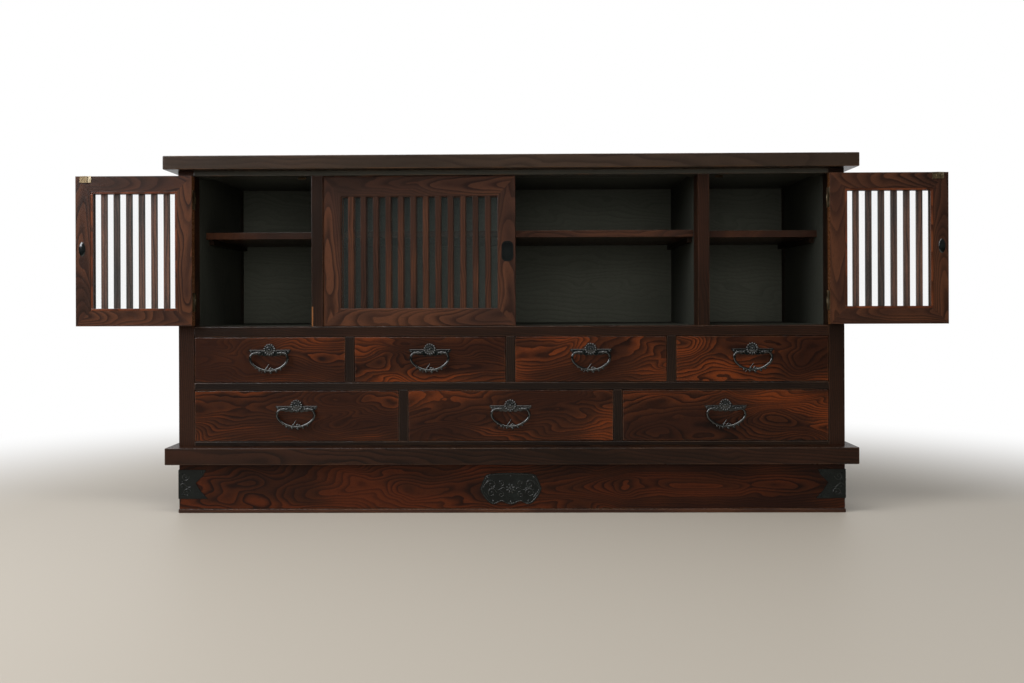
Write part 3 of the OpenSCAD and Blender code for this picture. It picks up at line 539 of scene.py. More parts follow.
def door_members(door, kind):
    """The four mitred members of a door's frame, with a chamfer round the window on the outer face, and a
    sliding door's two tongues."""
    low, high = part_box(f"{door}_frame")
    sizes = bpy.context.scene.sideboard_sizes
    hinged = kind == "hinged"
    margins = [v * MM for v in ((45, 45, 46, 46) if hinged else (47, 47, 46, 51))]
    # Above and below these a sliding door has its tongues
    bottom, top = (low.z, high.z) if hinged else (488.8 * MM, 879.5 * MM)
    window = (low.x + margins[0], high.x - margins[1], bottom + margins[2], top - margins[3])
    face, inward = (high.y, -1) if hinged else (low.y, 1)
    hinge_x = low.x if door.startswith("right") else high.x
    thick, lip, rebate, a = 20 * MM, 2 * MM, 6 * MM, sizes.door_arris
    cup_low, cup_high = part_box(f"{door}_pull")
    cup = (cup_low + cup_high) / 2
    shapes = []
    for side, w in enumerate(margins):
        section = [
            (sizes.window_chamfer, 0), (w - a, 0), (w - a * 0.3, a * 0.3), (w, a), (w, thick - a),
            (w - a * 0.3, thick - a * 0.3), (w - a, thick), (rebate, thick), (rebate, lip), (0, lip),
            (0, lip * 0.8)]
        shape = frame_member(window, margins, side, face, inward, section)
        middle = window[side] + (-0.5 if side in (0, 2) else 0.5) * w
        if side < 2 and abs(middle - cup.x) < w / 2:
            # The cup is let into an oval recess
            oval = [(cup.x + x * MM, cup.z + z * MM) for x, z in oval_outline(27.7, 49.7, 11.4)]
            shape = recessed(shape, prism(oval, face - inward * 2 * MM, face + inward * 9.3 * MM))
        shape.faces.layers.float.new("arris")
        shape.normal_update()
        if hinged:
            # The edge at the hinges gets part of the bare wood tone: painted light for the window's light that
            # strikes this edge
            mark_arris(
                shape, 1.4, lambda spot, normal: abs(normal.x) > 0.9 and abs(spot.x - hinge_x) < 0.1 * MM)
        shapes.append(shape)
    if not hinged:
        tongue = Vector((0, 5 * MM, 0))
        centre = Vector((0, face + thick / 2, 0))
        for start, end in ((low.z, bottom), (top, high.z)):
            shapes.append(block(
                centre - tongue + Vector((low.x, 0, start)), centre + tongue + Vector((high.x, 0, end))))
    return shapes


def block(low, high):
    """A plain block between two corners."""
    shape = bmesh.new()
    bmesh.ops.create_cube(shape, size=1.0)
    for v in shape.verts:
        v.co = Vector([low[k] if v.co[k] < 0 else high[k] for k in range(3)])
    return shape


def oval_outline(w, h, corner, steps=8):
    """A rounded rectangle in the XZ plane."""
    points = []
    for turn, (x, z) in enumerate(((1, 1), (-1, 1), (-1, -1), (1, -1))):
        points += arc(x * (w / 2 - corner), z * (h / 2 - corner), corner, 90 * turn, 90 * turn + 90, steps)
    return points


def risen(outline, y0, y1):
    """A closed mesh of an outline in the XZ plane, in metres, between two depths, and its far points."""
    shape = bmesh.new()
    face = shape.faces.new([shape.verts.new((x, y0, z)) for x, z in outline])
    made = bmesh.ops.extrude_face_region(shape, geom=[face])
    far = [g for g in made["geom"] if isinstance(g, bmesh.types.BMVert)]
    bmesh.ops.translate(shape, verts=far, vec=(0, y1 - y0, 0))
    return shape, far


def prism(outline, y0, y1):
    """A closed mesh to cut with."""
    shape, _ = risen(outline, y0, y1)
    bmesh.ops.recalc_face_normals(shape, faces=shape.faces)
    return plain_mesh("prism", shape)


def plain_mesh(name, shape):
    """Turns a shape into a mesh."""
    mesh = bpy.data.meshes.new(name)
    shape.to_mesh(mesh)
    shape.free()
    return mesh


def dressed(name, mesh, body, material, stands_for=(), weighted=True):
    """Makes an object of a finished mesh and ties it to its body."""
    piece = bpy.data.objects.new(name, mesh)
    bpy.context.scene.collection.objects.link(piece)
    if material is not None:
        mesh.materials.clear()
        mesh.materials.append(material)
    if weighted:
        normals = piece.modifiers.new("Flat Faces", "WEIGHTED_NORMAL")
        normals.keep_sharp = True
        normals.weight = 100
    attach(piece, body)
    if stands_for:
        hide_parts(*stands_for)
    return piece


# Geometry Nodes

SET_ON_POINTS, STORED = "GeometryNodeInstanceOnPoints", "GeometryNodeInputNamedAttribute"


def geometry_tree(name, *inputs):
    """A Geometry Nodes tree with the given (name, socket type) inputs besides its geometry and material,
    the function that adds nodes to it, and its input sockets by name."""
    tree = bpy.data.node_groups.new(name, "GeometryNodeTree")
    tree.interface.new_socket("Geometry", in_out="OUTPUT", socket_type="NodeSocketGeometry")
    for label, kind in (("Geometry", "Geometry"), *inputs, ("Material", "Material")):
        tree.interface.new_socket(label, in_out="INPUT", socket_type=f"NodeSocket{kind}")
    add = partial(add_node, tree)
    return tree, add, add("NodeGroupInput").outputs


def close_tree(tree, geometry, material, smooth=True):
    """Ends a tree with realized instances and one material."""
    real = add_node(tree, "GeometryNodeRealizeInstances", {"Geometry": geometry})
    shaded = add_node(tree, "GeometryNodeSetShadeSmooth", {"Geometry": real, "Shade Smooth": smooth})
    coated = add_node(tree, "GeometryNodeSetMaterial", {"Geometry": shaded, "Material": material})
    add_node(tree, "NodeGroupOutput", [coated])
    return tree


def rod_tree(name):
    """Forges a round rod along each path. The attribute "thick" is its radius."""
    tree, add, given = geometry_tree(name, ("Sides", "Int"))
    path = add("GeometryNodeMeshToCurve", {"Mesh": given["Geometry"]})
    round_bar = add("GeometryNodeCurvePrimitiveCircle", {"Resolution": given["Sides"], "Radius": 1.0})
    thick = add(STORED, ["thick"], data_type="FLOAT").outputs["Attribute"]
    rod = add("GeometryNodeCurveToMesh", {
        "Curve": path, "Profile Curve": round_bar, "Scale": thick, "Fill Caps": True})
    return close_tree(tree, rod, given["Material"])


def bead_tree(name):
    """Sets a rounded bead on each point. "size" is its half sizes and "turn" its rotation."""
    tree, add, given = geometry_tree(name, ("Segments", "Int"), ("Rings", "Int"))
    ball = add("GeometryNodeMeshUVSphere", {
        "Segments": given["Segments"], "Rings": given["Rings"], "Radius": 1.0})
    turn, size = (
        add(STORED, [key], data_type="FLOAT_VECTOR").outputs["Attribute"] for key in ("turn", "size"))
    beads = add(SET_ON_POINTS, {
        "Points": given["Geometry"], "Instance": ball, "Rotation": turn, "Scale": size})
    return close_tree(tree, beads, given["Material"])


def bar_tree(name):
    """Sets a row of upright bars, each cut from another place in the log."""
    tree, add, given = geometry_tree(
        name, ("Count", "Int"), ("Start", "Vector"), ("Pitch", "Float"), ("Size", "Vector"))
    bar = add("GeometryNodeMeshCube", {"Size": given["Size"]})
    spot = add(PARTS, [add("GeometryNodeInputPosition")]).outputs
    across = add(MATH, [spot["X"], 30 * MM], operation="ADD")
    behind = add(MATH, [spot["Y"], 50 * MM], operation="ADD")
    log = add(JOIN, [spot["Z"], across, behind])
    bar = add(
        "GeometryNodeStoreNamedAttribute", {"Geometry": bar, "Name": "grain", "Value": log},
        data_type="FLOAT_VECTOR", domain="POINT")
    step = add(JOIN, [given["Pitch"]])
    row = add(
        "GeometryNodeMeshLine", {"Count": given["Count"], "Start Location": given["Start"], "Offset": step},
        mode="OFFSET")
    bars = add(SET_ON_POINTS, {"Points": row, "Instance": bar})
    chance = add("FunctionNodeRandomValue", {2: 0.0, 3: 10.0, "Seed": 7}, data_type="FLOAT").outputs[1]
    bars = add(
        "GeometryNodeStoreNamedAttribute", {"Geometry": bars, "Name": "board", "Value": chance},
        data_type="FLOAT", domain="INSTANCE")
    return close_tree(tree, bars, given["Material"], smooth=False)


def grown(name, make, mesh, **settings):
    """The plain mesh that a tree makes of a mesh. Each tree is made once."""
    tree = bpy.data.node_groups.get(name) or make(name)
    holder = bpy.data.objects.new("Holder", mesh)
    bpy.context.scene.collection.objects.link(holder)
    modifier = holder.modifiers.new("Form", "NODES")
    modifier.node_group = tree
    for item in tree.interface.items_tree:
        if item.in_out == "INPUT" and item.name in settings:
            modifier[item.identifier] = settings[item.name]
    view = bpy.context.evaluated_depsgraph_get()
    made = bpy.data.meshes.new_from_object(holder.evaluated_get(view), depsgraph=view)
    bpy.data.objects.remove(holder)
    return made


# Metalwork, drawn in millimetres with X to the right, Y into the wood and Z up


def rods(paths, material, sides=12):
    """Forged rods along paths of (x, y, z, radius)."""
    mesh = bpy.data.meshes.new("paths")
    points, edges, thick = [], [], []
    for path in paths:
        first = len(points)
        points += [(x * MM, y * MM, z * MM) for x, y, z, _ in path]
        thick += [r * MM for *_, r in path]
        edges += [(i, i + 1) for i in range(first, len(points) - 1)]
    mesh.from_pydata(points, edges, [])
    mesh.attributes.new("thick", "FLOAT", "POINT").data.foreach_set("value", thick)
    return grown("Forged_Rod", rod_tree, mesh, Sides=sides, Material=material)


def beads(spots, material, segments=14, rings=9):
    """Beads of (x, y, z, half sizes, lean in degrees clockwise as seen from the front)."""
    mesh = bpy.data.meshes.new("spots")
    mesh.from_pydata([(x * MM, y * MM, z * MM) for x, y, z, _, _ in spots], [], [])
    size = [v * MM for *_, half, _ in spots for v in half]
    turn = [v for *_, lean in spots for v in (0.0, math.radians(lean), 0.0)]
    for key, values in (("size", size), ("turn", turn)):
        mesh.attributes.new(key, "FLOAT_VECTOR", "POINT").data.foreach_set("vector", values)
    return grown("Set_Beads", bead_tree, mesh, Segments=segments, Rings=rings, Material=material)


def arc(x, z, r, start, end, steps):
    """Points on an arc, by angles in degrees from +X towards +Z."""
    angles = [math.radians(start + (end - start) * i / steps) for i in range(steps + 1)]
    return [(x + r * math.cos(a), z + r * math.sin(a)) for a in angles]


def cut_plate(outline, back, front, chamfer):
    """A plate of an outline in the XZ plane, its front edge filed to a chamfer."""
    shape, far = risen([(x * MM, z * MM) for x, z in outline], back * MM, front * MM)
    rim = [e for e in shape.edges if all(v in far for v in e.verts)]
    filed(shape, rim, chamfer * MM)
    bmesh.ops.recalc_face_normals(shape, faces=shape.faces)
    return settled(shape)


def turned(x, y, z, r, length, chamfer):
    """A short round barrel along X."""
    shape = bmesh.new()
    spin = Matrix.Translation(Vector((x, y, z)) * MM) @ Matrix.Rotation(math.radians(90), 4, "Y")
    bmesh.ops.create_cone(
        shape, segments=24, radius1=r * MM, radius2=r * MM, depth=length * MM, cap_ends=True, matrix=spin)
    rim = [e for e in shape.edges if e.calc_face_angle(0) > math.radians(40)]
    bmesh.ops.bevel(shape, geom=rim, offset=chamfer * MM, segments=3, profile=0.5, affect="EDGES")
    return settled(shape)


def settled(shape):
    """Turns a shape into a mesh that is smooth but for its sharp edges."""
    for face in shape.faces:
        face.smooth = True
    for edge in shape.edges:
        edge.smooth = edge.calc_face_angle(0) < math.radians(50)
    return plain_mesh("shape", shape)


def joined(name, *meshes):
    """One mesh of several."""
    whole = bmesh.new()
    for part in meshes:
        whole.from_mesh(part)
    for part in meshes:
        bpy.data.meshes.remove(part)
    return plain_mesh(name, whole)


def moved(mesh, name, place):
    """A copy of a mesh at a place."""
    copy = mesh.copy()
    copy.name = name
    copy.transform(Matrix.Translation(place))
    return copy


def metalware(name, node, body, finish, chamfer, extra=(), keep=None):
    """Stands for a CAD node of metal with every sharp edge eased. keep picks the solids by their limits."""
    made = []
    for part in islands(node):
        if keep and not keep(*limits(part)):
            part.free()
            continue
        edges = [e for e in part.edges if e.calc_face_angle(0) > math.radians(34)]
        filed(part, edges, chamfer * MM)
        made.append(settled(part))
    return dressed(name, joined(name, *made, *extra), body, finish_material(finish), [node])


def both_halves(half):
    """A whole outline from its right half, which runs from the top to the bottom."""
    return half + [(-x, z) for x, z in reversed(half) if x > 0]


def handle_plate_mesh(iron):
    """The back plate: a long bar with a moulded top edge, a lobed lower edge, a rosette and two ears."""
    heart, ear, lobe, petals, steps = 8.2, 31.0, 13.6, 14, 44
    half = [(0, 8.4), (54.4, 8.4), (55.4, 7.4), (54.2, 4.6), (51.8, 1.6), (50.2, -1.4)]
    for i in range(steps):
        x = 49.4 - 49.4 * i / (steps - 1)
        sag = 2.6 + 6.2 * (1 - (x / 50) ** 2)
        half.append((x, -sag * (0.7 + 0.3 * abs(math.cos(math.pi * x / lobe)))))
    parts = [cut_plate(both_halves(half), 0.0, -1.6, 0.5)]
    parts.append(cut_plate(arc(0, heart, 14.2, 0, 351, 39), 0.0, -2.0, 0.5))
    spots = [(0, -1.9, heart, (10.2, 1.3, 10.2), 0), (0, -3.1, heart, (3.0, 1.9, 3.0), 0)]
    for i in range(petals):
        a = 360 / petals * (i + 0.5)
        c, d = math.cos(math.radians(a)), math.sin(math.radians(a))
        spots.append((13.2 * c, -1.9, heart + 13.2 * d, (2.9, 2.9, 3.6), 90 - a))
        spots.append((6.6 * c, -2.8, heart + 6.6 * d, (1.0, 0.9, 1.7), 90 - a))
    for s in (-1, 1):
        spots += [(s * 48.6, -1.5, 2.8, (2.2, 1.6, 2.2), 0), (s * ear, -4.6, 0.0, (2.7, 5.2, 3.2), 0)]
        spots += [(s * 40.5, -1.5, 2.0, (1.2, 1.0, 1.2), 0), (s * 20.0, -1.5, -2.6, (1.3, 1.0, 1.3), 0)]
        parts.append(turned(s * ear, -9.0, 0.0, 4.4, 6.0, 0.9))
    moulding = [[(s * (15.5 + 37.5 * i / 8), -1.7, 7.1, 1.15) for i in range(9)] for s in (-1, 1)]
    line = [
        [(s * (17 + 27 * i / 24), -1.6, 2.0 + 1.7 * math.sin(i * 0.72), 0.6 - 0.012 * i) for i in range(25)]
        for s in (-1, 1)]
    return joined("handle_plate", *parts, beads(spots, iron), rods(moulding + line, iron, 8))


def bail_mesh(iron):
    """The bail, drawn from its pivot: thin in the ears, fuller below, with leaves under its lowest bend."""
    side_r, drop, shoulder, flank = 22.0, 46.0, 13.0, 27.0
    # The low arc meets the side arc smoothly and passes through the lowest point
    fall = drop - shoulder
    low_r = (flank**2 + fall**2 - side_r**2) / (2 * (fall - side_r))
    low_z = low_r - drop
    turn = math.degrees(math.atan2(low_z + shoulder, flank))
    half = [(24.0, 0.0), (28.0, 0.0), (33.8, 0.0)] + arc(36, -shoulder, shoulder, 90, 0, 12)
    half += arc(flank, -shoulder, side_r, 0, -turn, 10)[1:] + arc(0, low_z, low_r, -turn, -90, 12)[1:]
    swell = [2.3, 2.3, 2.35] + [2.5 + 0.1 * i for i in range(len(half) - 3)]
    path = [(x, 0, z, min(r, 3.4)) for (x, z), r in zip(half, swell)]
    path += [(-x, y, z, r) for x, y, z, r in reversed(path[:-1])]
    sprout = [(-9.6 + 0.52 * i + 0.012 * i * i, -0.4, -47.4 + 1.24 * i, 2.7 - 0.12 * i) for i in range(16)]
    curl = [(-12 - 0.8 * i, -0.6, -45.0 - 0.16 * i * i + 0.7 * i, 1.9 - 0.1 * i) for i in range(10)]
    spots = [(s * 24.0, 0, 0, (3.2, 3.2, 3.2), 0) for s in (-1, 1)]
    spots += [(-6.4, -1.4, -40.4, (3.0, 2.6, 2.8), 0), (3.4, -0.6, -40.2, (4.8, 2.2, 2.6), -28)]
    spots.append((10.6, -0.9, -41.4, (3.6, 2.0, 2.2), 20))
    for x, z, size, lean in (
        (-34.0, -38.6, 0.7, 40), (-24.0, -44.8, 1.0, 28), (-9.4, -48.2, 1.1, 12),
        (5.3, -49.6, 1.15, -6), (19.3, -46.6, 1.1, -22), (30.7, -41.6, 1.0, -38),
    ):
        spots.append((x, -0.9, z, (3.1 * size, 2.7 * size, 3.9 * size), lean))
    return joined("bail", rods([path, sprout, curl], iron, 16), beads(spots, iron))


def scroll(x, z, r, start, turns, depth, thick, way=1, steps=26):
    """A spiral that winds in on itself, getting thinner."""
    path = []
    for i in range(steps + 1):
        t = i / steps
        a = math.radians(start) + way * t * turns * math.tau
        reach = r * (1 - 0.86 * t)
        path.append((x + reach * math.cos(a), depth, z + reach * math.sin(a), thick * (1 - 0.5 * t)))
    return path


def shield_outline():
    """A broad shield, pointed at each end, flat above and with three round lobes below."""
    return both_halves([
        (0, 41.6), (14, 41.4), (28, 40.8), (42, 40.0), (55, 38.8), (61, 37.2), (65.5, 34.0), (68.8, 29.0),
        (72.5, 21.0), (76.5, 11.5), (80.5, 1.0), (79.0, -5.0), (76.0, -12.5), (72.0, -20.0), (67.0, -26.5),
        (62.5, -31.5), (57.5, -36.5), (52.0, -40.0), (46.0, -41.4), (40.0, -40.4), (34.5, -37.4),
        (29.0, -34.6), (24.0, -33.8), (18.5, -35.4), (13.0, -38.6), (7.0, -41.2), (0.0, -42.2)])


def iron_relief(iron, middle, corners, face):
    """The middle iron's plate, and the chased line work of all three. middle and corners are the irons'
    centres, face is their surface."""
    top = face - 0.1
    mx, mz = middle
    lines, spots = [], []
    shield = cut_plate(shield_outline(), face + 1.7, face, 0.6)
    shield.transform(Matrix.Translation(Vector((mx, 0, mz)) * MM))
    for s in (-1, 1):
        for up in (-1, 1):
            lines.append(scroll(mx + s * 50, mz + up * 11, 13, 90 - s * up * 90, 1.4, top, 1.25, s * up))
            lines.append(scroll(mx + s * 26, mz + up * 15, 9, -up * 90, 1.2, top, 1.0, -s * up))
            lines.append([
                (mx + s * (75 - 0.9 * i), top, mz + up * (1.0 + 21 * (i / 18) ** 0.9), 0.8)
                for i in range(19)])
        lines.append([
            (mx + s * (14 + i * 1.6), top, mz + 3.2 * math.sin(i * 0.42), 1.2 - 0.02 * i)
            for i in range(30)])
    rim = [(mx + x * 0.955, top, mz + z * 0.925, 0.9) for x, z in shield_outline()]
    lines.append(rim + rim[:1])
    for i in range(8):
        a = math.radians(45 * i + 22.5)
        x, z = mx + 8.4 * math.cos(a), mz + 8.4 * math.sin(a)
        spots.append((x, face - 0.6, z, (2.4, 1.6, 4.4), 90 - math.degrees(a)))
    spots.append((mx, face - 1.8, mz, (3.4, 1.8, 3.4), 0))
    for x, z in corners:
        s = 1 if x > 0 else -1
        lines.append(scroll(x - s * 20, z + 20, 11, 90 + s * 90, 1.3, top, 1.0, s))
        lines.append(scroll(x - s * 24, z - 22, 12, 90 + s * 90, 1.3, top, 1.0, -s))
        lines.append([(x - s * (6 + 1.5 * i), top, z - 3 + 5 * math.sin(i * 0.3), 1.0) for i in range(20)])
    for x, z in ((-46, -32), (46, -32), (-60, 30), (60, 30), (0, 34), (0, -34)):
        spots.append((mx + x, face - 0.2, mz + z, (2.7, 1.9, 2.7), 0))
    return shield, joined("relief", rods(lines, iron, 8), beads(spots, iron))


# Operators


class SIDEBOARD_OT_carcass(bpy.types.Operator):
    """Dress the boards of the carcass and the plinth"""

    bl_idname = "sideboard.carcass"
    bl_label = "Carcass"

    def execute(self, context):
        arris = context.scene.sideboard_sizes.board_arris
        dark, plain = "Dark_Lacquered_Hardwood", "Plain_Lacquered_Hardwood"
        # lining is the interior stain darkened as painted shade for the walls and floors of the bays
        ebony, lining = "Ebonised_Lacquered_Hardwood", "Black_Stained_Lining"
        # Pieces with their node, finish, slot, arris, seed and choice of the node's boards. The inner faces
        # of the bays are stained like the back, and what shows in front is lacquered
        for piece, node, finish, slot, width, seed, keep, *more in (
            ("bay_shelves", "bay_shelves", plain, RED_WOOD, 0.8 * MM, 19,
             lambda low, high: high.x - low.x > CLEAT_WIDTH),
            # The cleats take the near-black rail finish as painted shade, so that they stay as dark as the
            # shaded bay round them
            ("bay_shelf_cleats", "bay_shelves", ebony, DARK_WOOD, 0.5 * MM, 18,
             lambda low, high: high.x - low.x <= CLEAT_WIDTH),
            ("front_rails_head", "front_rails", "Charcoal_Lacquered_Rail", DARK_WOOD, arris * 1.5, 13,
             lambda low, high: high.z > HEAD_RAIL_BOTTOM),
            ("front_rails_sill", "front_rails", dark, DARK_WOOD, arris * 1.5, 13,
             lambda low, high: DRAWER_RAILS_TOP < high.z <= HEAD_RAIL_BOTTOM),
            ("front_rails_lower", "front_rails", ebony, DARK_WOOD, arris * 1.5, 13,
             lambda low, high: high.z <= DRAWER_RAILS_TOP),
            ("drawer_partitions", "drawer_partitions", ebony, DARK_WOOD, arris * 0.8, 14, None),
            ("top_board", "top_board", "Polished_Lacquered_Hardwood", DARK_WOOD, arris * 1.8, 11, None,
             {"lined": (LINING_ACROSS, LINING_DEEP)}),
            ("corner_posts", "corner_posts", dark, DARK_WOOD, arris * 0.8, 12, None),
            ("waist_board", "waist_board", dark, DARK_WOOD, arris * 1.8, 13, None),
            ("back_panel", "back_panel", "Charcoal_Stained_Board", STAINED_WOOD, 0.5 * MM, 31, None),
            ("dust_boards", "dust_boards", lining, STAINED_WOOD, 0.5 * MM, 32, None),
            ("side_panels", "side_panels", dark, DARK_WOOD, arris * 0.8, 21,
             lambda low, high: abs(low.x + high.x) / 2 > LINING_ACROSS),
            ("side_panels", "side_panels", lining, STAINED_WOOD, 0.5 * MM, 26,
             lambda low, high: abs(low.x + high.x) / 2 <= LINING_ACROSS),
            ("bay_dividers", "bay_dividers", dark, DARK_WOOD, arris * 0.8, 22,
             lambda low, high: low.y < -LINING_DEEP, {"knock": KNOCK_TOP}),
            ("bay_dividers", "bay_dividers", lining, STAINED_WOOD, 0.5 * MM, 27,
             lambda low, high: low.y >= -LINING_DEEP),
            ("plinth_boards", "plinth_boards", "Dulled_Lacquered_Hardwood", RED_WOOD, arris, 41, None),
            ("plinth_sole", "plinth_sole", plain, RED_WOOD, arris * 1.8, 42, None),
        ):
            coat = "stained" if slot == STAINED_WOOD else "lacquered"
            timber(f"{piece}_{coat}", node, "carcass", finish, slot, width, seed, keep, **dict(*more))
        return {"FINISHED"}


class SIDEBOARD_OT_drawers(bpy.types.Operator):
    """Dress the drawer fronts and boxes"""

    bl_idname = "sideboard.drawers"
    bl_label = "Drawers"

    def execute(self, context):
        arris = context.scene.sideboard_sizes.drawer_arris
        for i, drawer in enumerate(DRAWERS):
            front, box = f"{drawer}_front", f"{drawer}_box"
            timber(f"{front}_lacquered", front, drawer, "Red_Lacquered_Hardwood", RED_WOOD, arris, seed=101 + i)
            timber(f"{box}_planed", box, drawer, "Bare_Paulownia", PALE_WOOD, 0.6 * MM, seed=201 + i)
        return {"FINISHED"}


class SIDEBOARD_OT_doors(bpy.types.Operator):
    """Dress the door frames, lattices and glass"""

    bl_idname = "sideboard.doors"
    bl_label = "Doors"

    def execute(self, context):
        plain, bead = "Plain_Lacquered_Hardwood", "Thin_Lacquered_Bead"
        for i, (side, kind) in enumerate((s, k) for s in SIDES for k in ("hinged", "sliding")):
            door = f"{side}_{kind}_door"
            node = f"{door}_frame"
            # The members are made anew, with mitres, and the thin glazing beads are kept
            timber(
                f"{node}_lacquered", node, door, plain, RED_WOOD, 0.5 * MM, seed=301 + i,
                keep=lambda low, high: False, extra=door_members(door, kind))
            timber(
                f"{door}_beads_lacquered", node, door, bead, RED_WOOD, 0.9 * MM, seed=311 + i,
                keep=lambda low, high: min(high - low) < 8 * MM)
            self.lattice(door, *((6, "Thin_Lacquered_Bar") if kind == "hinged" else (12, plain)))
            # A pane with ground edges
            pane = block(*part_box(f"{door}_glass"))
            bmesh.ops.bevel(pane, geom=list(pane.edges), offset=0.4 * MM, segments=1, affect="EDGES")
            dressed(
                f"{door}_glass_float", plain_mesh("pane", pane), door, finish_material("Clear_Float_Glass"),
                [f"{door}_glass"], weighted=False)
        return {"FINISHED"}

    @staticmethod
    def lattice(door, count, finish):
        """The bars of one door."""
        node = f"{door}_lattice"
        low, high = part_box(node)
        middle, wide = (low + high) / 2, 15 * MM
        mesh = grown(
            "Lattice_Bars", bar_tree, bpy.data.meshes.new("empty"), Count=count,
            Start=Vector((low.x + wide / 2, middle.y, middle.z)),
            Pitch=(high.x - low.x - wide) / (count - 1),
            Size=Vector((wide, high.y - low.y, high.z - low.z)), Material=finish_material(finish))
        bars = dressed(f"{node}_bars", mesh, door, None, [node], weighted=False)
        arris = bars.modifiers.new("Arris", "BEVEL")
        arris.width, arris.segments = 0.8 * MM, 2


class SIDEBOARD_OT_ironware(bpy.types.Operator):
    """Dress the iron plates, bails and pulls, and the brass"""

    bl_idname = "sideboard.ironware"
    bl_label = "Ironware"

    def execute(self, context):
        black, rubbed = "Blackened_Wrought_Iron", finish_material("Rubbed_Wrought_Iron")
        iron = finish_material(black)
        plate, bail = handle_plate_mesh(iron), bail_mesh(iron)
        for drawer in DRAWERS:
            low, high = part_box(f"{drawer}_front")
            pivot = Vector(((low.x + high.x) / 2, low.y, (low.z + high.z) / 2 + 18 * MM))
            name = f"{drawer}_handle_plate"
            dressed(f"{name}_forged", moved(plate, name, pivot), drawer, iron, [name])
            name = f"{drawer}_bail"
            hung = moved(bail, name, pivot - Vector((0, 9 * MM, 0)))
            dressed(f"{name}_forged", hung, name, iron, [name], weighted=False)
        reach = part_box("plinth_irons")[1].x / MM
        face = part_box("plinth_boards")[0].y / MM - 1.6
        shield, relief = iron_relief(rubbed, (0.0, 63.5), ((reach, 75.5), (-reach, 75.5)), face)
        # The corner irons are kept, and the shield takes the middle one's place
        metalware(
            "plinth_irons_forged", "plinth_irons", "carcass", "Dull_Wrought_Iron", 0.45, (shield,),
            keep=lambda low, high: abs(low.x + high.x) / 2 > 0.2)
        dressed(
            "plinth_irons_chased_lines", relief, "carcass", rubbed, ["plinth_irons"], weighted=False)
        for side in SIDES:
            for kind in ("hinged", "sliding"):
                door = f"{side}_{kind}_door"
                extra = [self.boss(door, iron)] if kind == "hinged" else []
                metalware(
                    f"{door}_pull_forged", f"{door}_pull", door, black, 0.35, extra,
                    keep=lambda low, high: high.y - low.y > 4 * MM)
            door = f"{side}_hinged_door"
            metalware(
                f"{door}_brassware_pressed", f"{door}_brassware", door, "Aged_Pressed_Brass", 0.2,
                (self.screws(side),))
        leaves = "hinge_leaves_and_strikes"
        metalware(f"{leaves}_pressed", leaves, "carcass", "Browned_Steel", 0.2)
        return {"FINISHED"}

    @staticmethod
    def boss(door, iron):
        """The domed oval on a hinged door's inner face, behind its cup pull."""
        low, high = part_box(f"{door}_pull")
        x, z = (low.x + high.x) / 2 / MM, (low.z + high.z) / 2 / MM
        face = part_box(f"{door}_frame")[0].y / MM
        way = -1 if door.startswith("left") else 1
        return beads([(x + way * 3.5, face + 0.2, z + 5.0, (8.6, 2.7, 18.6), 0)], iron, 28, 16)

    @staticmethod
    def screws(side):
        """Two countersunk screws in a door's catch."""
        low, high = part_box(f"{side}_hinged_door_brassware")
        door_low, door_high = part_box(f"{side}_hinged_door_frame")
        edge, way = (door_low.x, 1) if side == "left" else (door_high.x, -1)
        middle = edge / MM + way * (12 + 15)
        spots = [(middle + x, low.y / MM + 1.7, high.z / MM - 8.5, (2.1, 0.5, 2.1), 0) for x in (-10, 10)]
        return beads(spots, finish_material("Aged_Pressed_Brass"))


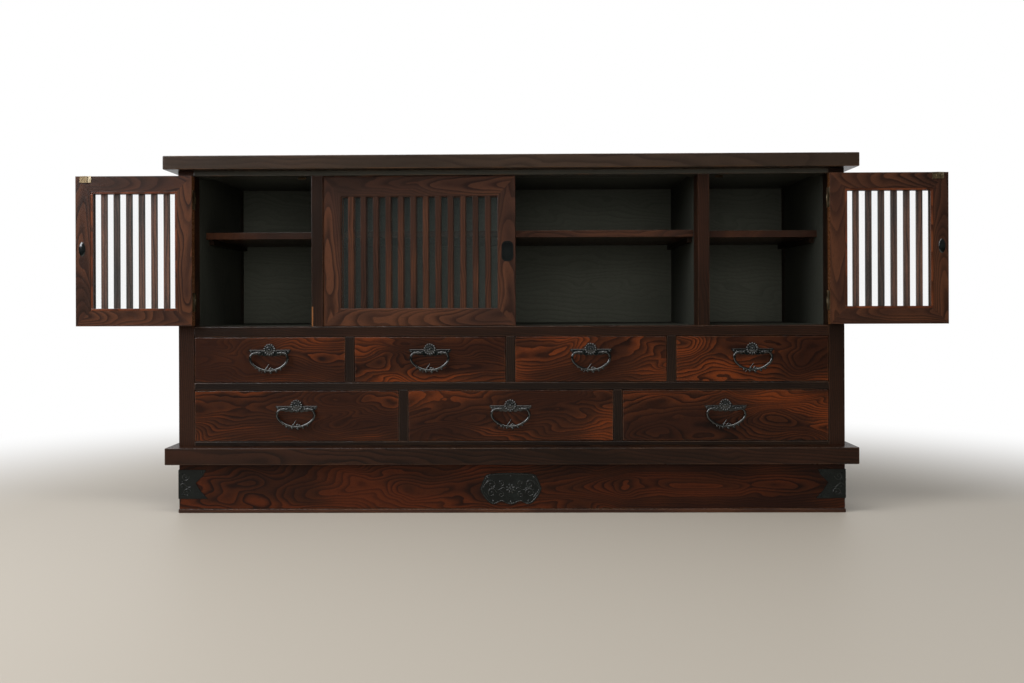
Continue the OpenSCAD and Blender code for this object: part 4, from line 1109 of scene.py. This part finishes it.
class SIDEBOARD_OT_stage(bpy.types.Operator):
    """Set the camera, the lamps, the floor and the backdrop"""

    bl_idname = "sideboard.stage"
    bl_label = "Stage"

    def execute(self, context):
        scene = context.scene
        scene.view_settings.view_transform = "Standard"
        lens = bpy.data.cameras.new("View")
        lens.sensor_width = 36.0
        lens.lens = 32.34
        lens.shift_y = -0.0376
        lens.clip_end = 50.0
        camera = bpy.data.objects.new("View", lens)
        camera.location = (0.0315, -2.6107, 0.5479)
        camera.rotation_euler = (math.radians(90), 0.0036, 0.0111)
        scene.collection.objects.link(camera)
        scene.camera = camera
        for name, place, aim, size, power, colour in (
            ("Window", (-2.5, -1.7, 1.9), (-0.4, 0.0, 0.5), (1.5, 1.7), 52.0, "#FAFBFF"),
            ("Ceiling", (-0.3, -1.2, 2.9), (0.0, 0.1, 0.4), (2.8, 0.6), 36.0, "#FFFDF8"),
            ("Room", (0.2, -4.2, 1.15), (0.0, 0.0, 0.5), (3.4, 2.0), 57.0, "#FFFBF6"),
        ):
            lamp = bpy.data.lights.new(name, "AREA")
            lamp.shape = "RECTANGLE"
            lamp.size, lamp.size_y = size
            lamp.energy = power
            lamp.color = linear(colour)
            holder = bpy.data.objects.new(name, lamp)
            holder.location = place
            holder.rotation_euler = (Vector(aim) - Vector(place)).to_track_quat("-Z", "Y").to_euler()
            # The dim room in front isn't mirrored in the lacquer
            holder.visible_glossy = name != "Room"
            scene.collection.objects.link(holder)
        self.backdrop(scene)
        self.floor(scene)
        return {"FINISHED"}

    @staticmethod
    def rays(add):
        """1 for what the camera sees, also through glass, else 0, and 1 for what is mirrored, else 0."""
        path = add("ShaderNodeLightPath").outputs
        direct = add(MATH, [path["Is Camera Ray"], path["Is Transmission Ray"]], operation="MAXIMUM")
        return direct, path["Is Glossy Ray"]

    def backdrop(self, scene):
        """A white wall behind, also in mirror images, a dim room in front, and a ceiling over it that the
        window on the left lights up."""
        scene.world = bpy.data.worlds.new("Room_Light")
        scene.world.use_nodes = True
        tree = scene.world.node_tree
        tree.nodes.clear()
        add = partial(add_node, tree)
        direct, mirrored = self.rays(add)
        towards = add(COORDINATES).outputs["Generated"]
        wall = add(RANGE, [add(PARTS, [towards]).outputs["Y"], 0.0, 0.4, 0.0, 1.0])
        above = add(VECTOR, [towards, (-0.45, -0.25, 0.86)], operation="DOT_PRODUCT").outputs["Value"]
        ceiling = add(RANGE, [above, 0.6, 0.95, 0.0, 1.8])
        strength = add(MATH, [mirrored, -0.34, 0.4], operation="MULTIPLY_ADD")
        for light in (wall, ceiling):
            seen = add(MATH, [mirrored, light], operation="MULTIPLY")
            strength = add(MATH, [strength, seen], operation="MAXIMUM")
        strength = add(MATH, [strength, direct], operation="MAXIMUM")
        background = add("ShaderNodeBackground", {"Color": (1.0, 1.0, 1.0), "Strength": strength})
        add("ShaderNodeOutputWorld", {"Surface": background})

    def floor(self, scene):
        """A plain pale floor that runs out into the white of the background."""
        half = 30
        mesh = bpy.data.meshes.new("Floor")
        corners = [(x * half, y * half, 0) for x, y in ((-1, -1), (1, -1), (1, 1), (-1, 1))]
        mesh.from_pydata(corners, [], [(0, 1, 2, 3)])
        # Floor paint, pale and dull, so that the object's shadow shows on it
        material, add = new_material("Pale_Floor_Paint")
        paint = add(SHADER, {"Base Color": linear("#B8B1A6"), "Roughness": 0.55, "Specular IOR Level": 0.2})
        place = add(COORDINATES).outputs["Object"]
        ahead = add(VECTOR, [place, (0.0, 0.8, 0.0)], operation="ADD")
        away = add(VECTOR, [ahead], operation="LENGTH").outputs["Value"]
        fade = add(RANGE, [away, 1.4, 2.9, 0.0, 1.0], interpolation_type="SMOOTHSTEP")
        direct, mirrored = self.rays(add)
        behind = add(MATH, [add(PARTS, [place]).outputs["Y"], 0.0], operation="GREATER_THAN")
        mirrored = add(MATH, [mirrored, behind], operation="MULTIPLY")
        seen = add(MATH, [direct, mirrored], operation="MAXIMUM")
        white = add("ShaderNodeEmission", {"Strength": seen})
        add(SURFACE, [add("ShaderNodeMixShader", [fade, paint, white])])
        mesh.materials.append(material)
        sheet = bpy.data.objects.new("Floor", mesh)
        scene.collection.objects.link(sheet)
        return sheet


class SIDEBOARD_PT_panel(bpy.types.Panel):
    """Lists the sideboard's settings and its pieces"""

    bl_label = "Lattice Door Sideboard"
    bl_idname = "SIDEBOARD_PT_panel"
    bl_space_type = "VIEW_3D"
    bl_region_type = "UI"
    bl_category = "Sideboard"

    def draw(self, context):
        layout = self.layout
        for group in (context.scene.sideboard_sizes, context.scene.sideboard_colours):
            column = layout.column(align=True)
            for name in group.__annotations__:
                column.prop(group, name)
        for operator in OPERATORS:
            layout.operator(operator.bl_idname)


OPERATORS = (
    SIDEBOARD_OT_stage,
    SIDEBOARD_OT_carcass,
    SIDEBOARD_OT_drawers,
    SIDEBOARD_OT_doors,
    SIDEBOARD_OT_ironware,
)
CLASSES = (SideboardColours, SideboardSizes, *OPERATORS, SIDEBOARD_PT_panel)


def register():
    """Adds the settings, the operators and the panel."""
    for cls in CLASSES:
        bpy.utils.register_class(cls)
    bpy.types.Scene.sideboard_colours = PointerProperty(type=SideboardColours)
    bpy.types.Scene.sideboard_sizes = PointerProperty(type=SideboardSizes)


def unregister():
    """Takes them out again."""
    del bpy.types.Scene.sideboard_sizes
    del bpy.types.Scene.sideboard_colours
    for cls in reversed(CLASSES):
        bpy.utils.unregister_class(cls)


def main():
    """Builds the whole sideboard."""
    register()
    for operator in OPERATORS:
        group, name = operator.bl_idname.split(".")
        getattr(getattr(bpy.ops, group), name)()


if __name__ == "__main__":
    main()
